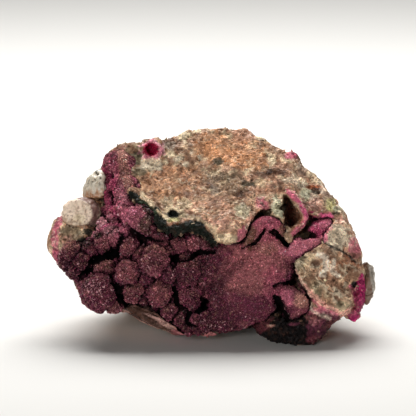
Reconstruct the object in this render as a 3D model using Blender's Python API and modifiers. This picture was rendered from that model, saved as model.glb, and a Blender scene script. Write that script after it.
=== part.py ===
"""A hand-sized specimen of pink cobalt-bearing dolomite on its broken host rock.

The specimen is laid out on its show side, in millimetres: x to the right, h up the show side and
d away from it. The show side leans back by SHOW_LEAN, and place() turns such a point into the
specimen's own frame, in metres, with +Z up. The rock is a union of plates, blocks and pebbles:

    plate   an outline on the show side, run back into the rock
    block   the convex hull of its corners
    pebble  the convex hull of a few balls, so a form with round edges

The pink druse fills the hollow under the roof and swells out of it on the right. Three pale
crystals sit on the rock's left and right edges.
"""

import math

import bmesh
import bpy
from mathutils import Matrix, Vector, noise

MM = 0.001
SPECIMEN = "dolomite_specimen"
CUTTERS = "cutters"

SHOW_LEAN = math.radians(12)  # how far the show side leans back from upright
FORM_VOXEL = 0.7  # mm, the grid on which the forms grow together
CRISP_VOXEL = 0.4  # mm, the grid that settles a finished piece
GAP = 0.75  # mm, how much larger the druse's seat is than the druse, before both are coarsened
CRYSTAL_GAP = 0.5  # mm, the same for the seat of a pale crystal
FLOOR = -0.9  # mm, the height at which the rock's lowest points are worn flat
WEAR = 0.2  # mm, how far above the floor the wear reaches
PLATE_TAPER = 0.84  # how much of a plate's outline is left at its back
BALL_STEPS = 2  # subdivisions of a ball
RING_STEPS = 14  # corners of an elliptical edge
LUMP_SCALE = 1.12  # a druse lump with its crystals, against the ball that it is laid out as
LUMP_GRAIN = 0.2  # how far a druse lump strays from round, as a share of its radius

ROCK_TRIANGLES = 4600
HOST_TRIANGLES = 5260
LOBE_TRIANGLES = 1500
DRUSE_TRIANGLES = 4600
SEAT_TRIANGLES = 2400

def ring(x, h, d, half_width, half_height):
    turns = [math.tau * step / RING_STEPS for step in range(RING_STEPS)]
    return [(x + half_width * math.cos(a), h + half_height * math.sin(a), d) for a in turns]


# Outlines are (x, h). A plate is (outline, depth of its face at x = h = 0, its rise in depth
# along x and along h, depth of its back).
ROOF = [
    (-22.8, 46.4), (-23.0, 48.4), (-21.2, 50.1), (-17.8, 50.4), (-15.5, 46.9), (-13.2, 47.2), (-12.0, 49.5),
    (-11.8, 51.6), (-9.2, 53.0), (-7.6, 54.3), (-2.0, 54.9), (1.0, 54.2), (6.0, 54.6), (9.2, 55.0),
    (12.2, 52.9), (17.0, 49.9), (21.5, 46.0), (20.5, 40.5), (18.3, 38.6), (18.4, 34.8),
    (15.5, 33.4), (13.5, 33.6), (11.5, 33.0), (10.2, 31.2), (9.0, 28.6), (7.6, 26.3), (5.0, 25.4),
    (2.2, 25.6), (0.4, 27.6), (-0.8, 29.8), (-3.6, 31.5), (-7.4, 31.7), (-9.8, 30.4),
    (-12.4, 31.2), (-13.6, 33.6), (-16.0, 36.2), (-18.2, 38.4), (-20.4, 40.8), (-22.0, 43.4),
]
SHOULDER = [
    (16.0, 50.4), (18.6, 48.6), (22.2, 45.8), (25.2, 43.8), (28.4, 40.4), (31.0, 37.2),
    (32.6, 34.4), (33.9, 32.2), (31.6, 31.6), (29.4, 31.9), (27.0, 31.5), (24.8, 32.0),
    (23.0, 33.8), (21.6, 36.0), (19.6, 38.0), (17.5, 38.8), (15.0, 42.0),
]
RIGHT_FACE = [
    (19.8, 21.2), (21.3, 22.8), (23.2, 24.0), (25.4, 24.9), (28.0, 25.1), (30.0, 24.2),
    (32.4, 23.1), (34.9, 21.9), (36.9, 20.3), (38.2, 18.4), (37.6, 17.2), (35.8, 16.4),
    (35.1, 14.9), (35.6, 13.2), (35.7, 11.4), (34.3, 9.7), (32.4, 8.8), (30.4, 9.1), (28.4, 10.1),
    (26.4, 11.4), (24.7, 12.8), (23.2, 14.6), (21.9, 16.4), (20.7, 18.6),
]
GREY_FACE = [
    (26.6, 27.2), (28.6, 29.2), (31.2, 30.6), (33.8, 31.0), (35.4, 28.4), (36.8, 25.8),
    (37.6, 23.8), (38.2, 21.0), (36.0, 20.6), (33.6, 22.0), (30.8, 23.6), (28.2, 24.8),
]
UNDER_RIM = [
    (-21.8, 9.6), (-19.8, 10.9), (-17.0, 10.4), (-14.2, 8.8), (-10.6, 6.4), (-7.6, 4.0),
    (-5.8, 2.7), (-9.8, 2.9), (-13.6, 4.4), (-16.6, 6.0), (-19.4, 7.8),
]
SLOT_WALL = [
    (19.4, 38.9), (20.8, 38.4), (22.4, 36.2), (24.2, 32.6), (23.6, 30.2), (19.8, 26.8),
    (19.2, 28.6), (22.0, 30.8), (22.7, 32.2), (21.8, 34.0), (20.2, 36.4), (18.6, 38.2),
]
FLAKE = [
    (14.0, 32.4), (16.0, 33.9), (18.8, 34.0), (18.4, 31.2), (20.2, 28.2), (20.4, 26.2),
    (19.2, 25.4), (17.4, 28.0), (15.4, 30.6),
]
PLATES = [
    (ROOF, -20.5, 0.0, 0.74, 28),
    (SHOULDER, -22.0, 0.42, 0.60, 30),
    (RIGHT_FACE, -8.5, 0.26, 0.22, 26),
    (GREY_FACE, -14.0, 0.34, 0.38, 30),
    (UNDER_RIM, 2.0, 0.0, 0.10, 24),
]
THIN_WALLS = [(SLOT_WALL, 1.4, 0.0, 0.04, 14), (FLAKE, -4.6, 0.0, 0.25, 11)]

# Blocks are corners (x, h, d).
CORE = [
    (-27, 44, 22), (-19, 49, 22), (-6, 53, 24), (8, 53.5, 24), (17, 48.5, 24), (30, 37, 24),
    (35.5, 27, 24), (36.5, 17, 22), (33, 10, 18), (24, 5.5, 12), (12, 4, 12), (-4, 5, 16),
    (-19, 10, 18), (-32, 17, 18), (-36, 25, 22), (-31, 36, 24),
    (-24, 42, 36), (-8, 48, 40), (10, 48, 38), (24, 39, 38), (31, 26, 38), (28, 13, 42),
    (14, 10.5, 48), (-6, 10.5, 49), (-22, 11.5, 44), (-30, 22, 38), (-26, 33, 42), (0, 34, 50),
    (18, 28, 47),
]
BACK_LEDGE = [
    (-20, 30, 40), (-4, 40, 44), (8, 30, 50), (-2, 20, 54), (-18, 20, 51), (-10, 26, 54),
    (2, 36, 40), (-20, 22, 40),
]
BACK_FOOT = [
    (2, 10.0, 40), (20, 8.0, 40), (26, 12, 34), (14, 18, 52), (22, 20, 46), (4, 16, 52),
    (6, 8.6, 48), (21, 8.2, 47),
]
BACK_LEFT_FOOT = [
    (-19, 7.8, 40), (-11, 7.4, 43), (-13, 8.0, 47), (-20, 15, 46), (-8, 16, 51), (-23, 15, 36),
    (-6, 14, 38),
]
LEFT_FOOT = [
    (-14, 4.8, 22), (-4, 3.6, 15), (-2, 6.5, 28), (-15, 7.8, 34), (-18, 12, 24), (2, 12, 14),
    (4, 12, 30),
]
RIDGE_CAP = [
    (-9, 53.6, 18), (3, 54.4, 19), (9, 54.8, 20), (14, 51.2, 20), (8, 50.5, 32), (-6, 50.5, 32),
    (-9, 46, 20), (12, 44, 20),
]
BLOCKS = [CORE, BACK_LEDGE, BACK_FOOT, BACK_LEFT_FOOT, LEFT_FOOT, RIDGE_CAP]

# Pebbles are balls (x, h, d, radius).
TOP_CORNER = [(-24.5, 48.0, 19, 1.6), (-19.5, 49.8, 18, 1.2), (-14.2, 50.2, 17, 1.8),
              (-11.5, 50.4, 18, 1.6), (-22, 44, 20, 3), (-12, 46, 18, 2), (-24.0, 46.5, 23, 2.4)]
HOLE_RIM = [(-17.5, 49.4, 15.6, 0.8), (-16.4, 51.3, 16.6, 0.7), (-13.2, 51.0, 15.6, 1.1),
            (-15.8, 47.3, 14.4, 0.8), (-12.8, 48.0, 14.0, 1.0), (-14.8, 49, 19, 2.4)]
CORNER_RIM = [(-25.2, 48.3, 17.8, 0.9), (-22.6, 49.7, 16.6, 0.9), (-19.4, 50.4, 15.8, 0.9),
              (-22, 47.4, 21, 2.2)]
LEFT_CHEEK = [(-37.0, 30.9, 15, 2.3), (-38.1, 28.4, 14.8, 2.3), (-38.9, 25.4, 14.5, 2.1),
              (-37.4, 22.0, 14, 2.2), (-32.0, 28.2, 10.5, 2.6), (-30.4, 24.6, 9.5, 2.4),
              (-33.6, 19.6, 11.5, 2.4), (-30.0, 26, 20, 5)]
LEFT_CROWN = [(-30.4, 41.0, 19.6, 1.2), (-30.5, 38.6, 19.2, 1.2), (-30.4, 36.9, 17.8, 1.2),
              (-26.0, 39.0, 22, 3)]
TAN_STRIP = [(-27.0, 36.4, 12.8, 1.0), (-26.6, 34.8, 11.4, 1.2), (-26.3, 33.0, 10.4, 1.3),
             (-27.2, 31.2, 10.2, 1.2), (-25.6, 34.0, 17, 2.4)]
LEFT_LIP = [(-34.6, 16.6, 12, 1.0), (-31.4, 13.2, 11.5, 1.0), (-28.4, 10.6, 11, 1.0),
            (-24.0, 9.8, 10.5, 1.1), (-21.4, 9.8, 9.5, 1.1), (-30, 17, 18, 2.5), (-22, 14, 18, 2.5)]
LOWER_LIP = [(-20.6, 9.4, 8.0, 1.0), (-5.2, 3.6, 5.0, 1.0), (2.5, 4.2, 4.6, 1.0),
             (8.5, 6.2, 5.6, 1.2), (-12.0, 8.0, 14, 2), (2, 8.0, 14, 3)]
ROOF_TIP = [(4.4, 27.2, 0.8, 1.9), (1.8, 28.6, 1.8, 1.7), (7.6, 28.6, 2.2, 1.8),
            (4.8, 31.5, 3.6, 2.6), (4.6, 30, 9, 3)]
RIGHT_CHEEK = [(36.2, 23.4, 10.5, 1.6), (34.4, 29.4, 13.5, 1.6), (32.6, 33.0, 15.5, 1.6),
               (37.4, 18.6, 12, 1.4), (36.2, 10.4, 11.5, 1.8), (34.6, 8.2, 11, 1.6),
               (30, 20, 22, 5)]
SHOULDER_KNOB = [(20.4, 48.2, 16.5, 1.2), (21.6, 47.6, 16.5, 1.0), (22.4, 45.4, 17, 1.2),
                 (18.5, 45, 20, 2)]
RIGHT_KEEL = [(31.8, 9.6, 3.6, 1.6), (28.0, 9.0, 3.0, 2.0), (34.2, 10.6, 5.6, 1.4),
              (30.8, 7.8, 5.5, 1.8), (25.6, 7.0, 5.0, 2.4), (29, 12, 12, 4)]
BASE = [(13.2, 4.4, 7.0, 1.8), (15.8, 2.4, 5.4, 1.8), (20.0, 1.9, 4.6, 1.9),
        (24.8, 2.2, 5.2, 2.0), (27.2, 4.0, 6.0, 2.0), (25.0, 8.0, 5.0, 2.6),
        (16.0, 8.0, 6.0, 2.4), (20, 8, 14, 4)]
UNDER_FACE = [(24.6, 12.8, 4.6, 1.4), (28.4, 10.4, 4.0, 1.4), (24.4, 9.8, 4.0, 1.8),
              (22.8, 14.4, 6.8, 1.2), (26, 12, 12, 3)]
PENDANT = [(36.6, 7.4, 9.4, 1.2), (35.9, 6.5, 9.2, 0.9), (34.2, 8.4, 8.6, 1.3)]
BAND_POINTS = [(-20.0, 38.6, 7.4, 1.2), (-17.2, 35.2, 5.2, 1.5), (-14.2, 32.4, 3.8, 1.5),
               (-12.0, 29.8, 3.2, 1.5), (-8.6, 29.2, 2.6, 1.5), (-5.2, 30.2, 3.4, 1.7),
               (-1.8, 28.6, 2.6, 1.4), (0.6, 26.4, 1.6, 1.1)]
BLACK_BAND = [[low, high, (high[0] - 0.5, high[1] + 3, high[2] + 4, 1.6)]
              for low, high in zip(BAND_POINTS, BAND_POINTS[1:])]
EDGE_WALL = [(37.2, 16.4, 13.8, 1.3), (37.6, 13.6, 14.0, 1.4), (37.0, 10.8, 13.4, 1.4),
             (35.8, 8.6, 12.4, 1.4), (33, 12, 17, 3)]
EDGE_BACK = [(37.6, 18.0, 20.8, 1.7), (37.6, 13.2, 20.8, 1.7), (33.0, 15.0, 22, 3)]
PEBBLES = [TOP_CORNER, LEFT_CHEEK, LEFT_CROWN, TAN_STRIP, LEFT_LIP, LOWER_LIP, ROOF_TIP,
           RIGHT_CHEEK, SHOULDER_KNOB, RIGHT_KEEL, UNDER_FACE, BASE, PENDANT, EDGE_WALL, EDGE_BACK]

RIMS = [*BLACK_BAND, HOLE_RIM, CORNER_RIM]

# Hollows are cut from the rock, and are pebbles too.
ROUND_VUG = [(-15.4, 49.4, 12.0, 1.9), (-15.1, 49.2, 17.2, 1.4)]
EYE_PIT = [(-10.3, 32.9, 2.0, 1.0), (-8.9, 32.7, 2.0, 0.9), (-9.5, 33.2, 6.2, 0.9)]
BOX_SLOT = [(18.6, 37.4, 3.0, 0.9), (20.4, 34.0, 2.0, 1.3), (21.0, 32.0, 2.0, 1.2),
            (19.4, 30.2, 2.0, 1.1), (19.6, 33.4, 11.5, 1.3)]
BLACK_NOOK = [(24.8, 30.6, 3.0, 1.1), (25.2, 28.4, 3.0, 1.3), (21.6, 28.0, 3.0, 0.9),
              (26.2, 29.8, 11, 1.4)]
ROOF_CLEFT = [(13.2, 32.9, 2.0, 0.6), (10.6, 29.8, 2.0, 0.7), (9.6, 26.4, 2.0, 0.6),
              (11.4, 29.4, 10.5, 0.9)]
EDGE_VUG = [(35.9, 15.6, 4.0, 0.9), (38.4, 16.8, 6.0, 1.1), (38.0, 12.8, 5.0, 1.0),
            (37.2, 10.0, 5.0, 0.8), (37.4, 14.2, 10.8, 1.5)]
KEEL_CLEFT = [(19.8, 16.8, -3.0, 0.5), (24.4, 12.0, -3.0, 0.5), (28.6, 8.6, -3.0, 0.4),
              (23.6, 12.6, 5.0, 0.9)]
LONG_CRACK = [(27.2, 26.7, 2.6, 0.35), (33.2, 23.4, 2.6, 0.45), (37.8, 20.2, 4.0, 0.35),
              (33, 23.8, 8.6, 0.2)]
HOLLOWS = [ROUND_VUG, EYE_PIT, BOX_SLOT, BLACK_NOOK, ROOF_CLEFT, EDGE_VUG, KEEL_CLEFT,
           LONG_CRACK]

# The druse: one ball for each botryoidal lump, the large lobes, and the wall that carries them.
LUMPS = [
    (-17.8, 31.4, 4.6, 3.3), (-15.6, 29.0, 5.8, 2.2), (-25.6, 29.8, 7.6, 2.7),
    (-23.4, 27.0, 6.8, 2.6), (-27.2, 26.0, 7.2, 2.5), (-20.2, 24.9, 4.8, 2.2),
    (-21.6, 28.2, 6.4, 2.1), (-13.4, 25.8, 5.4, 2.5), (-15.6, 27.4, 6.6, 1.8),
    (-11.2, 27.4, 7.4, 1.9), (-7.9, 25.0, 6.6, 2.5), (-5.4, 27.2, 7.6, 2.0),
    (-3.7, 25.4, 6.4, 2.4), (-0.9, 26.4, 6.6, 2.1), (-16.9, 22.6, 4.4, 2.4),
    (-14.0, 21.0, 3.4, 4.0), (-10.8, 18.6, 3.6, 2.9), (-15.8, 18.0, 4.0, 2.6),
    (-11.4, 22.6, 4.2, 2.1), (-20.7, 18.4, 1.6, 2.5), (-22.9, 16.2, 4.2, 1.8),
    (-26.4, 19.2, 6.6, 2.7), (-24.0, 20.6, 7.6, 1.9), (-27.6, 13.6, 4.8, 4.2),
    (-24.4, 10.9, 5.6, 2.3), (-30.9, 14.6, 7.2, 1.9), (-24.8, 15.4, 5.0, 1.8),
    (-19.5, 13.8, 4.2, 2.6), (-16.7, 12.4, 4.8, 1.8), (-12.8, 13.2, 3.6, 3.0),
    (-15.2, 15.6, 4.6, 1.6), (-9.6, 12.2, 5.2, 1.9), (-5.9, 18.6, 4.4, 3.7),
    (-2.4, 17.0, 4.8, 2.4), (-8.4, 15.6, 5.0, 2.1), (-6.4, 21.4, 5.6, 1.9),
    (-4.9, 11.8, 4.2, 3.1), (-2.0, 13.8, 4.8, 1.8), (0.6, 21.4, 5.2, 2.7),
    (3.4, 23.0, 5.2, 2.4), (-0.6, 18.8, 4.8, 2.0), (1.2, 24.6, 6.2, 1.7),
    (-10.2, 8.9, 5.4, 2.5), (-7.4, 7.0, 5.6, 2.4), (-2.8, 6.2, 4.4, 2.7),
    (-5.6, 5.0, 4.8, 1.6), (-34.6, 23.6, 8.6, 2.2), (-36.0, 21.2, 10.6, 2.1),
    (-31.9, 21.4, 8.2, 2.4), (-33.4, 18.8, 9.4, 2.2), (-29.9, 24.6, 7.6, 2.1),
    (-23.6, 33.0, 8.8, 2.0), (-21.2, 33.8, 8.0, 2.4), (-18.4, 27.6, 6.8, 1.5),
    (-23.4, 39.4, 12.2, 1.9), (-20.6, 39.4, 10.6, 1.4), (-22.8, 35.8, 10.4, 1.9),
    (-13.0, 9.9, 7.0, 1.6), (-21.6, 22.4, 7.2, 1.6), (-9.4, 22.0, 7.0, 1.7),
]
WALL_TOP = [(-26, 33, 13.0, 2.2), (-14, 31.5, 12.0, 2.2), (-4, 30, 11.6, 2.2), (4, 27, 11.0, 2.2),
            (-28, 24, 12.6, 2.2), (-14, 23, 11.0, 2.2), (2, 21, 10.6, 2.2), (-10, 27, 17, 2)]
WALL_LOW = [(-32, 21, 13.0, 2.0), (-24, 21, 11.0, 2.0), (-28, 14, 11.4, 2.4), (-18, 12, 9.6, 2.0),
            (-15, 20, 9.0, 2.0), (-6, 19, 8.8, 2.0), (-11, 9.4, 9.0, 2.0), (-4, 7.4, 8.4, 2.0),
            (3, 17, 9.0, 2.0), (-12, 14, 16, 3)]
LOBE = [(4.6, 17.0, 6.4, 4.4), (11.8, 18.4, 6.0, 5.4), (17.6, 18.8, 5.8, 3.4),
        (3.8, 10.6, 5.6, 4.8), (10.6, 12.0, 5.0, 5.8), (1.6, 6.6, 5.8, 3.2),
        (6.8, 8.4, 6.0, 4.0), (13.4, 10.4, 5.8, 3.0), (9, 15, 12, 3)]
LOBE_SWELL = [(6.6, 11.6, 5.0, 5.4), (11.0, 14.4, 5.0, 5.2), (8, 13, 9, 4)]
UNDER_TIP = [(7.4, 24.6, 4.6, 1.5), (3.4, 25.2, 5.0, 1.5), (9.2, 24.2, 4.2, 1.0),
             (5.6, 21.6, 6.4, 3.0), (5, 24, 10, 2)]
CONE = [(13.9, 27.6, 3.6, 0.9), (11.2, 24.2, 3.8, 1.2), (17.0, 24.2, 3.8, 1.3),
        (13.8, 20.6, 4.2, 4.0), (9.6, 22.0, 5.0, 1.4), (18.4, 21.6, 4.6, 1.6), (14, 22, 10, 2)]
ARCH_POINTS = [(8.6, 24.6, 4.0, 1.1), (10.0, 27.2, 4.2, 1.3), (11.8, 29.4, 4.4, 1.7),
               (13.8, 30.6, 4.6, 1.8), (16.0, 30.2, 4.6, 1.6), (17.8, 28.2, 4.4, 1.1)]
ARCH = [[low, high, (low[0], low[1] - 0.6, low[2] + 7, 0.9), (high[0], high[1] - 0.6, high[2] + 7, 1.1)]
        for low, high in zip(ARCH_POINTS, ARCH_POINTS[1:])]
ARCH_WALL = [(10.2, 24, 6.2, 1.4), (12.0, 28.2, 6.4, 1.6), (15.4, 28.4, 7.2, 1.4),
             (18.0, 25, 8.2, 1.4), (13, 20, 12, 2)]
SADDLE = [(20.8, 25.2, 5.2, 1.7), (24.6, 26.2, 6.0, 1.6), (27.4, 26.2, 7.6, 1.4),
          (20.4, 22.8, 4.8, 1.8), (23.0, 24.2, 6.2, 1.8), (23, 25, 12, 2)]
POCKET = [(25.6, 28.4, 7.8, 1.6), (28.0, 29.4, 9.4, 1.8), (29.4, 30.8, 11.0, 1.2),
          (26.8, 30.6, 11.0, 1.2), (27, 27, 13, 2)]
SMALL_PEAK = [(18.0, 12.6, 3.4, 1.7), (21.6, 12.2, 2.6, 2.3), (19.8, 13.6, 3.0, 1.8),
              (20.2, 9.2, 3.8, 2.1), (22.6, 10.0, 3.6, 1.7), (19.2, 7.2, 5.4, 1.4),
              (20, 10, 10, 2)]
SIDE_LOBE = [(-24.3, 45.8, 17.0, 2.5), (-25.3, 43.4, 16.4, 2.0), (-21.9, 45.4, 15.2, 2.0),
             (-22.2, 42.4, 14.4, 2.0), (-21, 45, 21, 2)]
SIDE_RIDGE = [(-22.4, 39.6, 12.6, 2.6), (-19.6, 39.4, 10.8, 1.8), (-23.4, 35.6, 11.0, 2.4),
              (-19.6, 35.8, 9.4, 2.4), (-20.8, 32.8, 8.8, 2.2), (-24.4, 30.8, 9.8, 1.8),
              (-21, 37, 17, 2)]
SIDE_STRIP = [(-26.4, 41.6, 16.6, 1.4), (-25.6, 38.2, 14.6, 1.3), (-24.2, 34.6, 12.2, 1.3),
              (-24, 38, 18, 2)]
LOBES = [WALL_TOP, WALL_LOW, LOBE, LOBE_SWELL, UNDER_TIP, CONE, *ARCH, ARCH_WALL, SADDLE, POCKET,
         SMALL_PEAK, SIDE_LOBE, SIDE_RIDGE, SIDE_STRIP]

UPPER_PIT = [(-24.4, 42.4, 10.0, 0.6), (-24.8, 42.6, 17.5, 0.9)]
LONG_SLIT = [(-25.2, 38.6, 8.0, 0.5), (-24.9, 35.4, 7.0, 0.8), (-24.8, 36.6, 15.5, 0.9)]
DRUSE_PITS = [UPPER_PIT, LONG_SLIT]

# The pale crystals, each a pebble or a block of its own.
MILKY_FACE = (-33.2, 33.2, 10.2, 3.4, 3.0)  # an ellipse: middle, half width, half height
MILKY_GIRTH = (-32.4, 33.0, 13.0, 4.8, 3.8)
MILKY_ROOT = (-31.6, 33.0, 18.0, 3.8, 3.2)
CLEAR_CRYSTAL = [
    (-31.8, 39.4, 16.0), (-30.9, 41.8, 15.4), (-28.7, 43.6, 15.8), (-27.4, 44.4, 17.2),
    (-31.5, 37.3, 15.4), (-29.6, 37.2, 13.8), (-27.4, 37.4, 13.2), (-27.0, 40.0, 12.8),
    (-27.2, 42.4, 13.6), (-29.4, 40.6, 13.0), (-27.4, 44.0, 20.0), (-31.0, 39.6, 19.6),
    (-27.4, 37.6, 19.0),
]
EDGE_CRYSTAL = [
    (39.2, 20.8, 13.4), (40.2, 19.8, 13.2), (41.0, 17.6, 13.4), (41.0, 14.6, 13.6),
    (40.4, 12.2, 13.4), (39.0, 10.4, 13.6), (39.6, 16.4, 12.2), (38.7, 19.4, 12.8),
    (38.7, 12.2, 12.8), (40.4, 13.0, 18.4), (40.4, 18.8, 18.4), (38.6, 11.0, 18.2),
    (38.6, 20.4, 18.2),
]

CRYSTALS = {
    "milky_crystal": ring(*MILKY_FACE) + ring(*MILKY_GIRTH) + ring(*MILKY_ROOT),
    "clear_crystal": CLEAR_CRYSTAL,
    "edge_crystal": EDGE_CRYSTAL,
}

# The rock's roughness: (feature size, height), in mm, coarse to fine.
ROCK_GRAIN = [(9.0, 0.9), (3.6, 0.45)]
DRUSE_GRAIN = [(5.0, 0.35)]


def place(x, h, d):
    """A point of the show side in the specimen's own frame, in metres."""
    cos, sin = math.cos(SHOW_LEAN), math.sin(SHOW_LEAN)
    return Vector((x, h * sin + d * cos, h * cos - d * sin)) * MM


def hull_mesh(points):
    """The convex hull of points in the specimen's frame, as a mesh."""
    bm = bmesh.new()
    corners = [bm.verts.new(point) for point in points]
    hull = bmesh.ops.convex_hull(bm, input=corners)
    inner = {e for e in hull["geom_interior"] if isinstance(e, bmesh.types.BMVert)}
    bmesh.ops.delete(bm, geom=list(inner), context="VERTS")
    bmesh.ops.recalc_face_normals(bm, faces=bm.faces)
    mesh = bpy.data.meshes.new("hull")
    bm.to_mesh(mesh)
    bm.free()
    return mesh


def block_mesh(corners):
    return hull_mesh([place(*corner) for corner in corners])


def ball_points(x, h, d, radius):
    """The corners of a ball."""
    bm = bmesh.new()
    at = Matrix.Translation(place(x, h, d))
    bmesh.ops.create_icosphere(bm, subdivisions=BALL_STEPS, radius=radius * MM, matrix=at)
    points = [vert.co.copy() for vert in bm.verts]
    bm.free()
    return points


def pebble_mesh(balls, grown=0.0):
    return hull_mesh([point for x, h, d, radius in balls for point in ball_points(x, h, d, radius + grown)])


def lump_mesh(x, h, d, radius, grown=0.0):
    """A ball that strays from round, as each botryoid does in its own way."""
    middle = place(x, h, d)
    points = []
    radius *= LUMP_SCALE
    for point in ball_points(x, h, d, radius):
        out = (point - middle).normalized()
        stray = LUMP_GRAIN * radius * noise.noise(point / (0.8 * radius * MM))
        points.append(point + out * (stray + grown) * MM)
    return hull_mesh(points)


def plate_mesh(outline, near, along_x, along_h, back, taper=PLATE_TAPER):
    """An outline on the show side, run back to one depth where it is smaller."""
    away = place(0, 0, 1)
    bm = bmesh.new()
    face = bm.faces.new([bm.verts.new(place(x, h, near + along_x * x + along_h * h)) for x, h in outline])
    run = bmesh.ops.extrude_face_region(bm, geom=[face], use_keep_orig=True)
    middle = face.calc_center_median()
    for corner in run["geom"]:
        if isinstance(corner, bmesh.types.BMVert):
            corner.co = middle.lerp(corner.co, taper)
            corner.co += away * (back - corner.co.dot(away) / away.length_squared)
    bmesh.ops.recalc_face_normals(bm, faces=bm.faces)
    mesh = bpy.data.meshes.new("plate")
    bm.to_mesh(mesh)
    bm.free()
    return mesh


def joined(name, meshes, collection):
    """The meshes as one object, still separate shells."""
    bm = bmesh.new()
    for mesh in meshes:
        bm.from_mesh(mesh)
        bpy.data.meshes.remove(mesh)
    merged = bpy.data.meshes.new(name)
    bm.to_mesh(merged)
    bm.free()
    obj = bpy.data.objects.new(name, merged)
    collection.objects.link(obj)
    return obj


def grow_together(obj, voxel=FORM_VOXEL):
    """Shells that overlap become one body on a grid."""
    remesh = obj.modifiers.new("grow together", "REMESH")
    remesh.mode = "VOXEL"
    remesh.voxel_size = voxel * MM


def roughen(obj, grain):
    """Cloudy relief of each (feature size, height), along the surface's normal."""
    for size, height in grain:
        texture = bpy.data.textures.new(f"{obj.name} relief {size}", "CLOUDS")
        texture.noise_scale = size * MM
        texture.noise_depth = 1
        relief = obj.modifiers.new(f"relief {size}", "DISPLACE")
        relief.texture = texture
        relief.texture_coords = "LOCAL"
        relief.strength = 2 * height * MM


def coarsen(obj, triangles):
    """Brings the evaluated mesh down to about this many triangles."""
    bake(obj)
    thin = obj.modifiers.new("coarsen", "DECIMATE")
    thin.ratio = triangles / sum(face.loop_total - 2 for face in obj.data.polygons)
    thin.use_collapse_triangulate = True
    bake(obj)


def fuse(obj, other):
    """One body from two objects whose own shells overlap too."""
    union = obj.modifiers.new("fuse", "BOOLEAN")
    union.operation = "UNION"
    union.object = other
    union.use_self = True
    bake(obj)
    bpy.data.objects.remove(other)
    keep_largest(obj)


def cut(obj, cutter):
    carve = obj.modifiers.new(f"cut by {cutter.name}", "BOOLEAN")
    carve.operation = "DIFFERENCE"
    carve.object = cutter
    carve.use_self = True


def bake(obj):
    """The object's evaluated mesh takes the place of its mesh and modifiers."""
    bpy.context.view_layer.update()
    made = bpy.data.meshes.new_from_object(obj.evaluated_get(bpy.context.evaluated_depsgraph_get()))
    obj.modifiers.clear()
    old, obj.data = obj.data, made
    bpy.data.meshes.remove(old)


def keep_largest(obj):
    """Removes the crumbs that a cut has left beside the main body."""
    bm = bmesh.new()
    bm.from_mesh(obj.data)
    waiting = set(bm.verts)
    bodies = []
    while waiting:
        body, edge = set(), [waiting.pop()]
        while edge:
            vert = edge.pop()
            body.add(vert)
            near = {e.other_vert(vert) for e in vert.link_edges} & waiting
            waiting -= near
            edge += near
        bodies.append(body)
    bodies.sort(key=len)
    bmesh.ops.delete(bm, geom=[v for body in bodies[:-1] for v in body], context="VERTS")
    bm.to_mesh(obj.data)
    bm.free()


def settle(obj, triangles):
    """Makes the cuts, drops the crumbs and brings the piece to its final mesh."""
    bake(obj)
    keep_largest(obj)
    grow_together(obj, CRISP_VOXEL)
    coarsen(obj, triangles)


def seat_for(name, corners, cutters):
    """A cutter in the shape of a flat-faced crystal, larger by the gap all round."""
    seat = joined(f"seat for {name}", [pebble_mesh([(*corner, CRYSTAL_GAP) for corner in corners])], cutters)
    hide(seat)
    return seat


def hide(cutter):
    cutter.hide_render = True
    cutter.display_type = "WIRE"


def paint(obj, colour, roughness):
    material = bpy.data.materials.new(obj.name)
    material.use_nodes = True
    shader = material.node_tree.nodes["Principled BSDF"]
    shader.inputs["Base Color"].default_value = (*colour, 1)
    shader.inputs["Roughness"].default_value = roughness
    obj.data.materials.clear()
    obj.data.materials.append(material)


def rock(parts, cutters):
    """The host rock: rough forms grown together, its thin walls and rims, then its hollows."""
    meshes = [plate_mesh(*plate) for plate in PLATES]
    meshes += [block_mesh(block) for block in BLOCKS]
    meshes += [pebble_mesh(pebble) for pebble in PEBBLES]
    obj = joined("host_rock", meshes, parts)
    grow_together(obj)
    roughen(obj, ROCK_GRAIN)
    grow_together(obj)
    coarsen(obj, ROCK_TRIANGLES)
    meshes = [plate_mesh(*wall, taper=1) for wall in THIN_WALLS]
    meshes += [pebble_mesh(rim) for rim in RIMS]
    fuse(obj, joined("walls and rims", meshes, parts))
    hollows = joined("hollows", [pebble_mesh(pebble) for pebble in HOLLOWS], cutters)
    hide(hollows)
    cut(obj, hollows)
    return obj


def crust(name, collection, grown=0.0):
    """The druse's lobes grown together, with its lumps fused on; larger all round if asked."""
    obj = joined(name, [pebble_mesh(lobe, grown) for lobe in LOBES], collection)
    grow_together(obj)
    roughen(obj, DRUSE_GRAIN)
    grow_together(obj)
    coarsen(obj, LOBE_TRIANGLES)
    fuse(obj, joined("lumps", [lump_mesh(*lump, grown) for lump in LUMPS], collection))
    return obj


def druse(parts, cutters):
    obj = crust("pink_druse", parts)
    pits = joined("druse pits", [pebble_mesh(pit) for pit in DRUSE_PITS], cutters)
    hide(pits)
    cut(obj, pits)
    return obj


def new_collection(name):
    collection = bpy.data.collections.new(name)
    bpy.context.scene.collection.children.link(collection)
    return collection


def wear_base(obj):
    """Whatever reaches below the floor is worn flat, which leaves a foot at each low point."""
    for vert in obj.data.vertices:
        if vert.co.z < (FLOOR + WEAR) * MM:
            vert.co.z = FLOOR * MM


def stand(objects, pieces):
    """Moves everything so that the middle of the pieces' footprint is the origin, at the floor."""
    points = [vert.co for piece in pieces for vert in piece.data.vertices]
    low = Vector([min(axis) for axis in zip(*points)])
    high = Vector([max(axis) for axis in zip(*points)])
    shift = Vector(((low.x + high.x) / -2, (low.y + high.y) / -2, -low.z))
    for obj in objects:
        obj.data.transform(Matrix.Translation(shift))


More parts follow.
